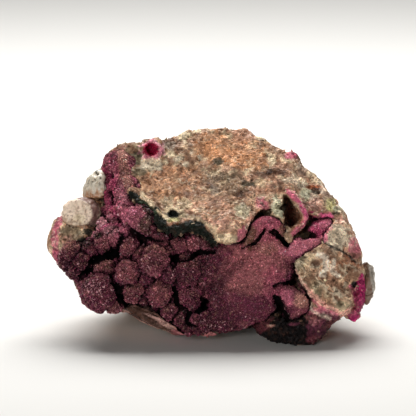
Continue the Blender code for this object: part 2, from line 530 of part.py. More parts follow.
def main():
    for obj in list(bpy.data.objects):
        bpy.data.objects.remove(obj)
    parts, cutters = new_collection(SPECIMEN), new_collection(CUTTERS)
    host = rock(parts, cutters)
    pink = druse(parts, cutters)
    pale, seats = [], []
    for name, corners in CRYSTALS.items():
        pale.append(joined(name, [block_mesh(corners)], parts))
        seats.append(seat_for(name, corners, cutters))
    for seat in seats:
        cut(pink, seat)
        cut(host, seat)
    settle(pink, DRUSE_TRIANGLES)
    seat = crust("seat for pink_druse", cutters, GAP)
    coarsen(seat, SEAT_TRIANGLES)
    hide(seat)
    cut(host, seat)
    settle(host, HOST_TRIANGLES)
    wear_base(host)
    stand([*parts.objects, *cutters.objects], parts.objects)
    paint(host, (0.42, 0.29, 0.20), 0.8)
    paint(pink, (0.36, 0.10, 0.15), 0.6)
    for piece in pale:
        paint(piece, (0.66, 0.56, 0.46), 0.4)


main()
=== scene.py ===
"""The looks of the dolomite specimen: a crust of pink dolomite crystals on tan, granular host rock.

Places are given on the specimen's show side, in millimetres, as in its CAD source: x to the right,
h up the show side, d away from it. The show side leans back by SHOW_LEAN, and place() turns such a
point into the frame that the CAD model is packed in, in metres.

The rock is refined from its CAD node. The druse is grown again from the lobes and lumps that its
node was made from, and dressed with single crystals. Colours are painted onto the meshes' points
from the listed stains and seams, and the materials' nodes add the fine grain.
"""

import math
from collections import namedtuple
from itertools import chain

import bmesh
import bpy
import numpy as np
from mathutils import Matrix, Vector, noise
from mathutils.bvhtree import BVHTree


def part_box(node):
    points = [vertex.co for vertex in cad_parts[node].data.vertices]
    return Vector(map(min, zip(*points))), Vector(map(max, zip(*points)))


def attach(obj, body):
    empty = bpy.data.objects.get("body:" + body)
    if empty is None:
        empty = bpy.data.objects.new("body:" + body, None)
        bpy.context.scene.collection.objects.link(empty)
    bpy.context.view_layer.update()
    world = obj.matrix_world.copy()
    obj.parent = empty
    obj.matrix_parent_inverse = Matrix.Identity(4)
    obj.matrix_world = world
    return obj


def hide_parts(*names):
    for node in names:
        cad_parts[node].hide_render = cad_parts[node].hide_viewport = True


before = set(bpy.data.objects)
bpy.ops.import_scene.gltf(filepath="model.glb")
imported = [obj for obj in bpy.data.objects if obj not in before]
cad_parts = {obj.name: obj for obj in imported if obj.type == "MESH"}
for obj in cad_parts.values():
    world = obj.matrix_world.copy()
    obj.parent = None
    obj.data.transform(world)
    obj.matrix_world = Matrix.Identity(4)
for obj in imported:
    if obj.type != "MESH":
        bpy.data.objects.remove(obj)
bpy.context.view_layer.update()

MM = 0.001
SHOW_LEAN = math.radians(12)
COS, SIN = math.cos(SHOW_LEAN), math.sin(SHOW_LEAN)
BODY = "root"

BALL_STEPS = 3  # subdivisions of the balls
LUMP_SCALE = 1.12  # how much the lumps are grown
LUMP_GRAIN = 0.2  # how far they stray from round, as a share of their radius
LUMP_SEED_SCALE = 0.8  # the size of that grain, also as a share of the radius

ROCK_VOXEL, DRUSE_VOXEL = 0.36, 0.3  # mm
SMOOTHING = 0.5  # how far a round of softening takes each point to its neighbours' middle
ROCK_TRIANGLES, DRUSE_TRIANGLES = 190000, 160000

# The druse's lumps are balls (x, h, d, radius), and its lobes the hulls of a few balls each.
LUMPS = [
    (-17.8, 31.4, 4.6, 3.3), (-15.6, 29, 5.8, 2.2), (-25.6, 29.8, 7.6, 2.7), (-23.4, 27, 6.8, 2.6),
    (-27.2, 26, 7.2, 2.5), (-20.2, 24.9, 4.8, 2.2), (-21.6, 28.2, 6.4, 2.1), (-13.4, 25.8, 5.4, 2.5),
    (-15.6, 27.4, 6.6, 1.8), (-11.2, 27.4, 7.4, 1.9), (-7.9, 25, 6.6, 2.5), (-5.4, 27.2, 7.6, 2),
    (-3.7, 25.4, 6.4, 2.4), (-0.9, 26.4, 6.6, 2.1), (-16.9, 22.6, 4.4, 2.4), (-14, 21, 3.4, 4),
    (-10.8, 18.6, 3.6, 2.9), (-15.8, 18, 4, 2.6), (-11.4, 22.6, 4.2, 2.1), (-20.7, 18.4, 1.6, 2.5),
    (-22.9, 16.2, 4.2, 1.8), (-26.4, 19.2, 6.6, 2.7), (-24, 20.6, 7.6, 1.9), (-27.6, 13.6, 4.8, 4.2),
    (-24.4, 10.9, 5.6, 2.3), (-30.9, 14.6, 7.2, 1.9), (-24.8, 15.4, 5, 1.8), (-19.5, 13.8, 4.2, 2.6),
    (-16.7, 12.4, 4.8, 1.8), (-12.8, 13.2, 3.6, 3), (-15.2, 15.6, 4.6, 1.6), (-9.6, 12.2, 5.2, 1.9),
    (-5.9, 18.6, 4.4, 3.7), (-2.4, 17, 4.8, 2.4), (-8.4, 15.6, 5, 2.1), (-6.4, 21.4, 5.6, 1.9),
    (-4.9, 11.8, 4.2, 3.1), (-2, 13.8, 4.8, 1.8), (0.6, 21.4, 5.2, 2.7), (3.4, 23, 5.2, 2.4),
    (-0.6, 18.8, 4.8, 2), (1.2, 24.6, 6.2, 1.7), (-10.2, 8.9, 5.4, 2.5), (-7.4, 7, 5.6, 2.4),
    (-2.8, 6.2, 4.4, 2.7), (-5.6, 5, 4.8, 1.6), (-34.6, 23.6, 8.6, 2.2), (-36, 21.2, 10.6, 2.1),
    (-31.9, 21.4, 8.2, 2.4), (-33.4, 18.8, 9.4, 2.2), (-29.9, 24.6, 7.6, 2.1), (-23.6, 33, 8.8, 2),
    (-21.2, 33.8, 8, 2.4), (-18.4, 27.6, 6.8, 1.5), (-23.4, 39.4, 12.2, 1.9), (-20.6, 39.4, 10.6, 1.4),
    (-22.8, 35.8, 10.4, 1.9), (-13, 9.9, 7, 1.6), (-21.6, 22.4, 7.2, 1.6), (-9.4, 22, 7, 1.7),
]
WALL_TOP = [
    (-26, 33, 13, 2.2), (-14, 31.5, 12, 2.2), (-4, 30, 11.6, 2.2), (4, 27, 11, 2.2), (-28, 24, 12.6, 2.2),
    (-14, 23, 11, 2.2), (2, 21, 10.6, 2.2), (-10, 27, 17, 2),
]
WALL_LOW = [
    (-32, 21, 13, 2), (-24, 21, 11, 2), (-28, 14, 11.4, 2.4), (-18, 12, 9.6, 2), (-15, 20, 9, 2),
    (-6, 19, 8.8, 2), (-11, 9.4, 9, 2), (-4, 7.4, 8.4, 2), (3, 17, 9, 2), (-12, 14, 16, 3),
]
LOBE = [
    (4.6, 17, 6.4, 4.4), (11.8, 18.4, 6, 5.4), (17.6, 18.8, 5.8, 3.4), (3.8, 10.6, 5.6, 4.8),
    (10.6, 12, 5, 5.8), (1.6, 6.6, 5.8, 3.2), (6.8, 8.4, 6, 4), (13.4, 10.4, 5.8, 3), (9, 15, 12, 3),
]
LOBE_SWELL = [
    (6.6, 11.6, 5, 5.4), (11, 14.4, 5, 5.2), (8, 13, 9, 4),
]
UNDER_TIP = [
    (7.4, 24.6, 4.6, 1.5), (3.4, 25.2, 5, 1.5), (9.2, 24.2, 4.2, 1), (5.6, 21.6, 6.4, 3), (5, 24, 10, 2),
]
CONE = [
    (13.9, 27.6, 3.6, 0.9), (11.2, 24.2, 3.8, 1.2), (17, 24.2, 3.8, 1.3), (13.8, 20.6, 4.2, 4),
    (9.6, 22, 5, 1.4), (18.4, 21.6, 4.6, 1.6), (14, 22, 10, 2),
]
ARCH_POINTS = [
    (8.6, 24.6, 4, 1.1), (10, 27.2, 4.2, 1.3), (11.8, 29.4, 4.4, 1.7), (13.8, 30.6, 4.6, 1.8),
    (16, 30.2, 4.6, 1.6), (17.8, 28.2, 4.4, 1.1),
]
ARCH = [[low, high, (low[0], low[1] - 0.6, low[2] + 7, 0.9), (high[0], high[1] - 0.6, high[2] + 7, 1.1)]
        for low, high in zip(ARCH_POINTS, ARCH_POINTS[1:])]
ARCH_WALL = [
    (10.2, 24, 6.2, 1.4), (12, 28.2, 6.4, 1.6), (15.4, 28.4, 7.2, 1.4), (18, 25, 8.2, 1.4), (13, 20, 12, 2),
]
SADDLE = [
    (20.8, 25.2, 5.2, 1.7), (24.6, 26.2, 6, 1.6), (27.4, 26.2, 7.6, 1.4), (20.4, 22.8, 4.8, 1.8),
    (23, 24.2, 6.2, 1.8), (23, 25, 12, 2),
]
POCKET = [
    (25.6, 28.4, 7.8, 1.6), (28, 29.4, 9.4, 1.8), (29.4, 30.8, 11, 1.2), (26.8, 30.6, 11, 1.2),
    (27, 27, 13, 2),
]
SMALL_PEAK = [
    (18, 12.6, 3.4, 1.7), (21.6, 12.2, 2.6, 2.3), (19.8, 13.6, 3, 1.8), (20.2, 9.2, 3.8, 2.1),
    (22.6, 10, 3.6, 1.7), (19.2, 7.2, 5.4, 1.4), (20, 10, 10, 2),
]
SIDE_LOBE = [
    (-24.3, 45.8, 17, 2.5), (-25.3, 43.4, 16.4, 2), (-21.9, 45.4, 15.2, 2), (-22.2, 42.4, 14.4, 2),
    (-21, 45, 21, 2),
]
SIDE_RIDGE = [
    (-22.4, 39.6, 12.6, 2.6), (-19.6, 39.4, 10.8, 1.8), (-23.4, 35.6, 11, 2.4), (-19.6, 35.8, 9.4, 2.4),
    (-20.8, 32.8, 8.8, 2.2), (-24.4, 30.8, 9.8, 1.8), (-21, 37, 17, 2),
]
SIDE_STRIP = [
    (-26.4, 41.6, 16.6, 1.4), (-25.6, 38.2, 14.6, 1.3), (-24.2, 34.6, 12.2, 1.3), (-24, 38, 18, 2),
]
LOBES = [WALL_TOP, WALL_LOW, LOBE, LOBE_SWELL, UNDER_TIP, CONE, *ARCH, ARCH_WALL, SADDLE, POCKET,
         SMALL_PEAK, SIDE_LOBE, SIDE_RIDGE, SIDE_STRIP]
# The edge crystal's corners that reach furthest to the right, back and up.
EDGE_CORNERS = [(41, 17.6, 13.4), (38.6, 20.4, 18.2), (39.2, 20.8, 13.4)]


def leaned(x, h, d):
    """A point of the show side turned upright, in metres, before the model is stood on its base."""
    return Vector((x, h * SIN + d * COS, h * COS - d * SIN)) * MM


# The CAD model stands with its origin under its middle. Its edge crystal tells how far it was moved.
EDGE_REACH = Vector([max(axis) for axis in zip(*[leaned(*corner) for corner in EDGE_CORNERS])])
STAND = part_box("edge_crystal")[1] - EDGE_REACH


def place(x, h, d):
    return leaned(x, h, d) + STAND


def layout(points):
    """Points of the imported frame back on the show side: x, h and d in millimetres."""
    p = (np.asarray(points) - np.array(STAND)) / MM
    return p[:, 0], p[:, 1] * SIN + p[:, 2] * COS, p[:, 1] * COS - p[:, 2] * SIN


# ------ meshes

def linked(name, data):
    """A new object in the scene."""
    obj = bpy.data.objects.new(name, data)
    bpy.context.scene.collection.objects.link(obj)
    return obj


def mesh_of(bm, name):
    """What was drawn in bm, as a mesh."""
    mesh = bpy.data.meshes.new(name)
    bm.to_mesh(mesh)
    bm.free()
    return mesh


def hull_mesh(points):
    """The convex hull of points, as a mesh."""
    bm = bmesh.new()
    hull = bmesh.ops.convex_hull(bm, input=[bm.verts.new(point) for point in points])
    inner = {e for e in hull["geom_interior"] if isinstance(e, bmesh.types.BMVert)}
    bmesh.ops.delete(bm, geom=list(inner), context="VERTS")
    bmesh.ops.recalc_face_normals(bm, faces=bm.faces)
    return mesh_of(bm, "hull")


def ball_points(x, h, d, radius):
    bm = bmesh.new()
    at = Matrix.Translation(place(x, h, d))
    bmesh.ops.create_icosphere(bm, subdivisions=BALL_STEPS, radius=radius * MM, matrix=at)
    points = [vert.co.copy() for vert in bm.verts]
    bm.free()
    return points


def lobe_mesh(balls):
    return hull_mesh([point for ball in balls for point in ball_points(*ball)])


def lump_mesh(x, h, d, radius):
    """A ball that strays from round, as its CAD form does."""
    middle = place(x, h, d)
    unturned = leaned(x, h, d)
    points = []
    radius *= LUMP_SCALE
    for point in ball_points(x, h, d, radius):
        out = (point - middle).normalized()
        seed = (point - middle + unturned) / (LUMP_SEED_SCALE * radius * MM)
        points.append(point + out * LUMP_GRAIN * radius * noise.noise(seed) * MM)
    return hull_mesh(points)


def joined(name, meshes):
    bm = bmesh.new()
    for mesh in meshes:
        bm.from_mesh(mesh)
        bpy.data.meshes.remove(mesh)
    return linked(name, mesh_of(bm, name))


def bake(obj):
    """The object's evaluated mesh takes the place of its mesh and modifiers."""
    bpy.context.view_layer.update()
    made = bpy.data.meshes.new_from_object(obj.evaluated_get(bpy.context.evaluated_depsgraph_get()))
    obj.modifiers.clear()
    old, obj.data = obj.data, made
    bpy.data.meshes.remove(old)


def refine(obj, voxel, rounds):
    """Grows the object's shells into one body on a fine grid, and softens the grid's steps."""
    remesh = obj.modifiers.new("refine", "REMESH")
    remesh.mode = "VOXEL"
    remesh.voxel_size = voxel * MM
    soften = obj.modifiers.new("soften", "SMOOTH")
    soften.factor = SMOOTHING
    soften.iterations = rounds
    bake(obj)


def copy_of(node, name):
    obj = linked(name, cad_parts[node].data.copy())
    obj.data.materials.clear()
    return obj


def read(collection, field, width=3):
    flat = np.empty(len(collection) * width, np.float32)
    collection.foreach_get(field, flat)
    return flat.reshape(-1, width).astype(float) if width > 1 else flat.astype(float)


def points_of(obj):
    return read(obj.data.vertices, "co")


def normals_of(obj):
    return read(obj.data.vertex_normals, "vector")


def move_to(obj, points):
    obj.data.vertices.foreach_set("co", points.astype(np.float32).ravel())
    obj.data.update()


def raise_by(obj, amount):
    """Moves each point along its normal, by millimetres."""
    move_to(obj, points_of(obj) + normals_of(obj) * amount[:, None] * MM)


def corners_of(obj):
    """The numbers of the points at each triangle's first, second and third corner."""
    first = read(obj.data.polygons, "loop_start", 1).astype(int)
    loops = read(obj.data.loops, "vertex_index", 1).astype(int)
    return [loops[first + k] for k in range(3)]


def face_values(obj, values):
    """The mean over each face of a value or colour kept at the mesh's points."""
    return sum(values[corner] for corner in corners_of(obj)) / 3


# ------ relief and masks

SEED_STEP = 17.3  # moves the noise to another place for each seed
CELL_SPREAD = 7.1  # makes neighbouring cells differ
LOOKS = 20  # how many ways each point looks for what closes it in
LOOK_REACH = 6  # mm
LOOK_LIFT = 0.15  # mm
GRAZING = 0.1  # looks flatter than this along the surface don't count


def cloud(points, size, octaves, seed):
    """Cloudy noise at each point, about -1 to 1, of one feature size in millimetres or one for each axis."""
    where = points / (np.asarray(size) * MM) + SEED_STEP * seed
    return np.array([noise.fractal(p, 1, 2, octaves) for p in where.tolist()])


Cells = namedtuple("Cells", "border reach plane shade")


def cells(points, size, seed):
    """Of each point's cell: how far its border is, how far its middle, its tilted plane, its shade."""
    found = np.empty((len(points), 4))
    for index, p in enumerate((points / (size * MM) + SEED_STEP * seed).tolist()):
        distances, centres = noise.voronoi(p)
        tilt = noise.cell_vector(centres[0] * CELL_SPREAD) - Vector((0.5, 0.5, 0.5))
        plane = tilt.dot(Vector(p) - centres[0]) + 0.5 * tilt.x
        found[index] = distances[1] - distances[0], distances[0], plane, 2 * tilt.z
    return Cells(*found.T)


def streaks(points, slope, length, width, seed):
    """Noise drawn out along a slope of the show side, given in degrees."""
    x, h, d = layout(points)
    cos, sin = math.cos(math.radians(slope)), math.sin(math.radians(slope))
    turned = np.column_stack((x * cos + h * sin, h * cos - x * sin, d)) * MM
    return cloud(turned, (length, width, length), 3, seed)


def ramp(value, low, high):
    """0 below low, 1 above high, and smooth between them."""
    t = np.clip((value - low) / (high - low), 0, 1)
    return t * t * (3 - 2 * t)


def sphere_directions(count):
    turn = math.pi * (3 - math.sqrt(5))
    directions = []
    for i in range(count):
        z = 1 - 2 * (i + 0.5) / count
        r = math.sqrt(1 - z * z)
        directions.append(Vector((r * math.cos(turn * i), r * math.sin(turn * i), z)))
    return directions


def tree_of(objects):
    corners, faces = [], []
    for obj in objects:
        first = len(corners)
        corners += points_of(obj).tolist()
        faces += [[first + i for i in face.vertices] for face in obj.data.polygons]
    return BVHTree.FromPolygons(corners, faces)


def openness(points, normals, tree):
    """How much of the space around each point is free within LOOK_REACH, from 0 to 1; the colours paint the
    closed-in points dark, as painted shade.
    """
    directions = sphere_directions(LOOKS)
    free = np.zeros(len(points))
    for index, (point, normal) in enumerate(zip(points, normals)):
        normal = Vector(normal)
        start = Vector(point) + normal * LOOK_LIFT * MM
        total = hits = 0
        for direction in directions:
            facing = direction.dot(normal)
            if facing > GRAZING:
                total += facing
                if tree.ray_cast(start, direction, LOOK_REACH * MM)[0] is not None:
                    hits += facing
        free[index] = 1 - hits / total
    return free


# ------ colours

def linear(red, green, blue):
    """A colour written in 8-bit sRGB, as linear values."""
    values = np.array((red, green, blue)) / 255
    return np.where(values > 0.04045, ((values + 0.055) / 1.055) ** 2.4, values / 12.92)


TAN = linear(186, 146, 116)
CLAY = linear(196, 146, 120)
BROWN = linear(138, 102, 80)
UMBER = linear(74, 48, 38)
ORANGE = linear(214, 148, 100)
CREAM = linear(236, 216, 178)
IVORY = linear(244, 222, 200)
WHITE = linear(232, 214, 186)
GREY = linear(166, 148, 132)
DRAB = linear(130, 118, 94)
MOSS = linear(60, 56, 40)
MINT = linear(206, 204, 172)
LIME = linear(204, 198, 136)
RUST = linear(156, 82, 46)
BLACK = linear(16, 11, 12)
PITCH = linear(24, 29, 23)
GREEN = linear(70, 84, 62)
SALMON = linear(222, 162, 146)
BLUSH = linear(236, 180, 184)
PINK = linear(212, 108, 132)
CERISE = linear(222, 92, 136)
MAGENTA = linear(168, 40, 96)
CRIMSON = linear(150, 12, 52)
PLUM = linear(122, 58, 80)
GRAPE = linear(72, 38, 50)
ROSE = linear(198, 120, 124)
LIGHT_PINK = linear(240, 138, 162)
WINE = linear(98, 46, 54)
DUSTY = linear(180, 114, 114)
MAUVE = linear(160, 98, 130)
SAND = linear(172, 140, 112)
SPLINTER = linear(188, 144, 136)
MILK = linear(250, 224, 200)
MILK_BAND = linear(150, 116, 110)
GLASS = linear(252, 242, 222)
EDGE_GREY = linear(208, 200, 188)

# Stains are (colour, x, h, half width, half height, strength).
ROOF_STAINS = [
    (CLAY, -2, 36, 8, 5, 0.4), (ORANGE, -10, 41, 9, 5, 0.3), (ORANGE, 4, 49.5, 10, 5, 0.5),
    (ORANGE, 2, 48.6, 4.2, 3, 0.6), (ORANGE, 10.4, 46.4, 5.4, 2.6, 0.5), (CLAY, 7.8, 53, 5.4, 1.8, 0.7),
    (CREAM, -6.8, 52.9, 1.8, 1.4, 0.85), (CREAM, -3.6, 54, 1.4, 0.6, 0.8), (CREAM, 4.6, 52.6, 1, 1, 0.6),
    (CREAM, 12.4, 52.6, 1.8, 1.1, 0.7), (CREAM, 15, 46.8, 1.2, 1.9, 0.7), (DRAB, -18.6, 47, 2.4, 1.6, 1),
    (DRAB, -18.2, 43.6, 2.4, 1.3, 0.85), (MOSS, -19, 45.6, 1.8, 0.4, 0.6), (WHITE, -14.6, 45.6, 3, 2.2, 1),
    (CREAM, -10.9, 48.2, 1.9, 1.1, 0.9), (CREAM, -11.4, 46.2, 0.8, 1, 0.7),
    (GREY, -10.4, 50.3, 1.7, 1.2, 0.85), (UMBER, -10.6, 51.7, 1.2, 0.5, 0.7),
    (WHITE, -8, 46.8, 1.4, 0.7, 0.85), (WHITE, -6.6, 45.6, 0.8, 0.9, 0.85),
    (WHITE, -4.9, 48.6, 0.5, 0.9, 0.8), (WHITE, -2.8, 47.2, 0.5, 0.9, 0.8),
    (MOSS, 1.6, 46.2, 1.6, 1.1, 0.9), (UMBER, 2.5, 42.8, 0.7, 1, 0.85), (UMBER, 5, 42.6, 1.1, 0.4, 0.8),
    (DRAB, 2.8, 41, 5.4, 3.6, 0.4), (UMBER, -0.4, 40.3, 0.8, 0.9, 0.7), (GREY, 0.8, 39, 1.2, 1.2, 0.7),
    (BROWN, -6.1, 38, 1.2, 1, 0.9), (UMBER, 7.3, 37.7, 1.1, 1, 0.85), (MOSS, 9.4, 40.6, 1.6, 0.9, 0.85),
    (UMBER, 12.6, 42.8, 1.4, 1.1, 0.7), (BLACK, 14.6, 43.5, 0.8, 0.8, 0.85),
    (UMBER, 17, 43.2, 1.9, 0.8, 0.8), (UMBER, 15.6, 40.2, 1, 0.7, 0.7), (WHITE, 20.4, 41.4, 3, 0.8, 0.6),
    (PINK, 12.8, 35.6, 2, 1.7, 0.6), (BLACK, 12.8, 35.3, 0.5, 0.6, 0.95), (MINT, 16.8, 34.4, 1.7, 3, 0.9),
    (MINT, 7.8, 33.4, 2.2, 2.2, 0.6), (CREAM, 4, 27, 3.6, 1.4, 0.6), (PINK, 7.9, 27.6, 1.6, 2.6, 0.8),
    (SALMON, 10, 30.8, 1.6, 2.2, 0.5), (SALMON, 3.4, 30.4, 3.6, 1.6, 0.35), (CREAM, -9.5, 33, 3.2, 2, 0.7),
    (LIME, -9.5, 31.5, 2, 0.6, 0.9), (RUST, -9.7, 30.7, 1.9, 0.4, 0.7),
    (BLUSH, -14.7, 49.1, 3.4, 2.8, 0.95), (LIGHT_PINK, -14.9, 49.1, 3, 2.4, 0.75),
    (CREAM, -6.6, 35.6, 2.2, 1.6, 0.6), (CREAM, -11, 36, 2.4, 1, 0.5),
]
SHOULDER_STAINS = [
    (PINK, 20.2, 47.8, 1.8, 1.5, 0.9), (GREY, 23.4, 44, 3.4, 2.6, 0.4), (IVORY, 29.6, 39.6, 3, 4, 0.5),
    (CREAM, 26.6, 42.6, 3, 2.6, 0.5), (IVORY, 24, 36.4, 3, 3, 0.4), (WHITE, 22.8, 40.4, 1.6, 1.2, 0.95),
    (RUST, 25.8, 39.7, 2.2, 0.7, 0.95), (BLACK, 26.4, 38.7, 1.5, 0.9, 0.85),
    (MINT, 23.6, 37.8, 1.5, 1.7, 0.9), (LIME, 30, 35.7, 1.5, 2.1, 0.75), (SALMON, 26.4, 35, 2.6, 1.9, 0.5),
    (MOSS, 31, 33.1, 1.2, 0.6, 0.85), (MINT, 32.2, 34.4, 1.4, 0.8, 0.85),
    (BROWN, 29.4, 37.6, 1.8, 1.4, 0.6), (CERISE, 28.6, 32.4, 2, 1.2, 0.85),
    (WHITE, 31.6, 27.4, 4.2, 3.4, 0.85), (PINK, 27.6, 30.8, 2.8, 2, 0.9), (CERISE, 27.8, 28.2, 1.8, 2, 0.8),
    (PINK, 36, 24.2, 1.7, 3, 0.75), (BROWN, 35, 22, 3, 1.4, 0.7), (SALMON, 33, 31.4, 1.4, 1.2, 0.5),
]
LOWER_STAINS = [
    (CREAM, 22.4, 19.6, 3.2, 3.2, 0.45), (MOSS, 23, 22.2, 0.9, 0.6, 0.9), (UMBER, 26, 20.4, 1.6, 1.4, 0.7),
    (BROWN, 31.6, 13.6, 3.2, 2.2, 0.8), (RUST, 33.4, 20.8, 2.6, 1.2, 0.4), (DRAB, 21.6, 20.8, 2, 2, 0.7),
    (UMBER, 33.6, 19.4, 1.6, 1.4, 0.5), (DRAB, 26.4, 15.2, 2.4, 2, 0.6), (BROWN, 24.2, 18, 2, 2.4, 0.6),
    (GREEN, 26.8, 13.4, 1, 1, 0.6), (GREEN, 32, 10.6, 1.2, 0.9, 0.6), (PINK, 36, 13.6, 1.1, 2.8, 0.75),
    (MAGENTA, 37.6, 12.8, 2.3, 5.4, 1), (MAGENTA, 35.8, 7, 2.2, 2.4, 1), (WINE, 27.2, 6.4, 6, 3.8, 0.95),
    (PLUM, 29.6, 8, 3, 1.6, 0.6), (GRAPE, 24, 3.6, 4, 2.4, 0.7), (PINK, 25.4, 9, 2.6, 1.2, 0.5),
    (BLACK, 24.4, 9.6, 0.8, 0.6, 0.9), (BLACK, 26.6, 7, 1, 0.5, 0.8), (BLACK, 18.6, 3.4, 12, 5, 1),
    (BLACK, 18, 3, 7, 4, 1), (PLUM, 26.2, 4.2, 2.6, 3.6, 0.5), (DUSTY, 25.8, 6.6, 1.6, 1.4, 0.3),
    (WINE, 12.4, 5.4, 2.2, 2.2, 0.9), (PLUM, 20.6, 5.6, 1.4, 0.5, 0.6), (WINE, 13.4, 6.6, 3, 0.8, 0.8),
    (SALMON, 15.2, 5.2, 1.2, 0.4, 0.5), (WINE, 26, 1.6, 2.4, 1.2, 0.8),
]
LEFT_STAINS = [
    (DRAB, -35, 28.4, 3.4, 2.4, 0.7), (SAND, -33.4, 26.6, 2.4, 1.6, 0.7), (SALMON, -36, 26, 1.4, 2, 0.5),
    (PITCH, -30.7, 28.6, 1.4, 1, 0.95), (GRAPE, -36, 19.4, 5, 5, 0.8), (PITCH, -32, 26.3, 2, 1.1, 0.95),
    (PITCH, -28, 27.8, 1.2, 0.9, 0.95), (SAND, -26.6, 34.4, 1.6, 3, 0.8), (SALMON, -26.6, 31, 1.6, 1, 0.7),
]
ROCK_STAINS = ROOF_STAINS + SHOULDER_STAINS + LOWER_STAINS + LEFT_STAINS
# Seams are (colour, half width, strength, points on the show side).
# The band under the roof's edge: partly its own black-green colour, partly painted shade under that edge.
BLACK_BAND = [
    (PITCH, 1.1, 1, [(-20, 38), (-19, 36.9), (-16.5, 35.2), (-14.5, 33.2)]),
    (PITCH, 1.8, 1, [(-14.5, 33.2), (-13, 31), (-11.5, 29.2), (-9, 28.5), (-6.5, 29.6), (-4, 29.8),
       (-2, 28.6)]),
    (PITCH, 1.4, 1, [(-2, 28.6), (-0.4, 26.8), (0.4, 25.4)]),
]
ROCK_SEAMS = [
    (SALMON, 1.6, 0.8, [(-22.4, 49), (-22.2, 46), (-21.6, 43.4), (-20.2, 41.2)]),
    (PINK, 0.8, 0.5, [(-24.8, 48.2), (-23.6, 47.4), (-23.2, 45.4), (-22.6, 43)]),
    (CREAM, 0.7, 0.6, [(-17, 37.8), (-15.6, 36), (-12.6, 33.2), (-11.2, 31.9)]),
    (CREAM, 0.6, 0.5, [(-7.4, 32.6), (-3.6, 32), (-0.6, 30.2), (1, 28.2)]),
    *BLACK_BAND,
    (GREEN, 0.6, 0.85, [(-17.6, 36.4), (-15.6, 34.8), (-13.8, 33.2)]),
    (PINK, 0.75, 0.95, [(19.2, 38.5), (20.6, 37.4), (22.2, 35.4), (23.4, 33.2), (24, 31.6), (22.4, 29.8),
       (20.2, 27.8)]),
    (CERISE, 0.7, 0.9, [(21.8, 36), (23.4, 33.8), (25, 32.2), (27, 31.7), (28.6, 32.6), (30.2, 32.4)]),
    (IVORY, 0.5, 0.6, [(23, 10.8), (26, 8.4), (29.6, 7)]),
    (SAND, 1, 0.9, [(14.6, 32.8), (17.2, 31), (18.8, 28.6), (19.8, 26.2)]),
    (SALMON, 0.8, 0.95, [(20.2, 19.4), (21.8, 16.6), (24.4, 13.6), (26.8, 11), (29.8, 9.4), (33, 7.8),
       (35, 9.2)]),
    (PINK, 0.6, 0.8, [(34.8, 15), (36.4, 14.2), (37.2, 12), (36.6, 9.8), (34.6, 7.4)]),
    (PINK, 0.4, 0.8, [(20.8, 17.4), (23.2, 13.6), (27, 10), (31.4, 8)]),
    (IVORY, 0.8, 1, [(26.6, 23), (28.8, 22.2), (28.6, 20), (27.6, 17.8)]),
    (IVORY, 0.6, 1, [(30.8, 21.4), (30, 19), (31.6, 17.6)]), (IVORY, 0.5, 1, [(28.6, 20), (30, 19)]),
    (WHITE, 0.5, 0.7, [(30.6, 14.4), (32.6, 12.2)]),
    (RUST, 0.7, 0.6, [(32, 23.6), (34.6, 22.2), (36.6, 20.4)]),
    (BLACK, 0.35, 0.95, [(26.8, 26.6), (30.6, 24.6), (34, 23), (36.4, 20.8)]),
    (PINK, 1.1, 0.85, [(-37.6, 32.6), (-38.9, 29), (-39.3, 25.4), (-38.4, 21.6)]),
    (SALMON, 0.6, 0.7, [(-36.4, 16.2), (-33, 12.8), (-29.6, 10.2)]),
    (MAGENTA, 0.5, 0.9, [(-26.6, 36.8), (-25.4, 34.6), (-24.8, 32.6)]),
    (ROSE, 1.2, 0.9, [(-9, 3.2), (-4.5, 2.8), (1, 3.4)]),
    (SALMON, 0.4, 0.7, [(-22, 8.4), (-17.6, 6), (-13, 3.8), (-9.4, 2.4)]),
    (SALMON, 0.55, 0.95, [(-19, 10.6), (-15.4, 9.6), (-11.6, 7.2), (-7.2, 3.9)]),
]
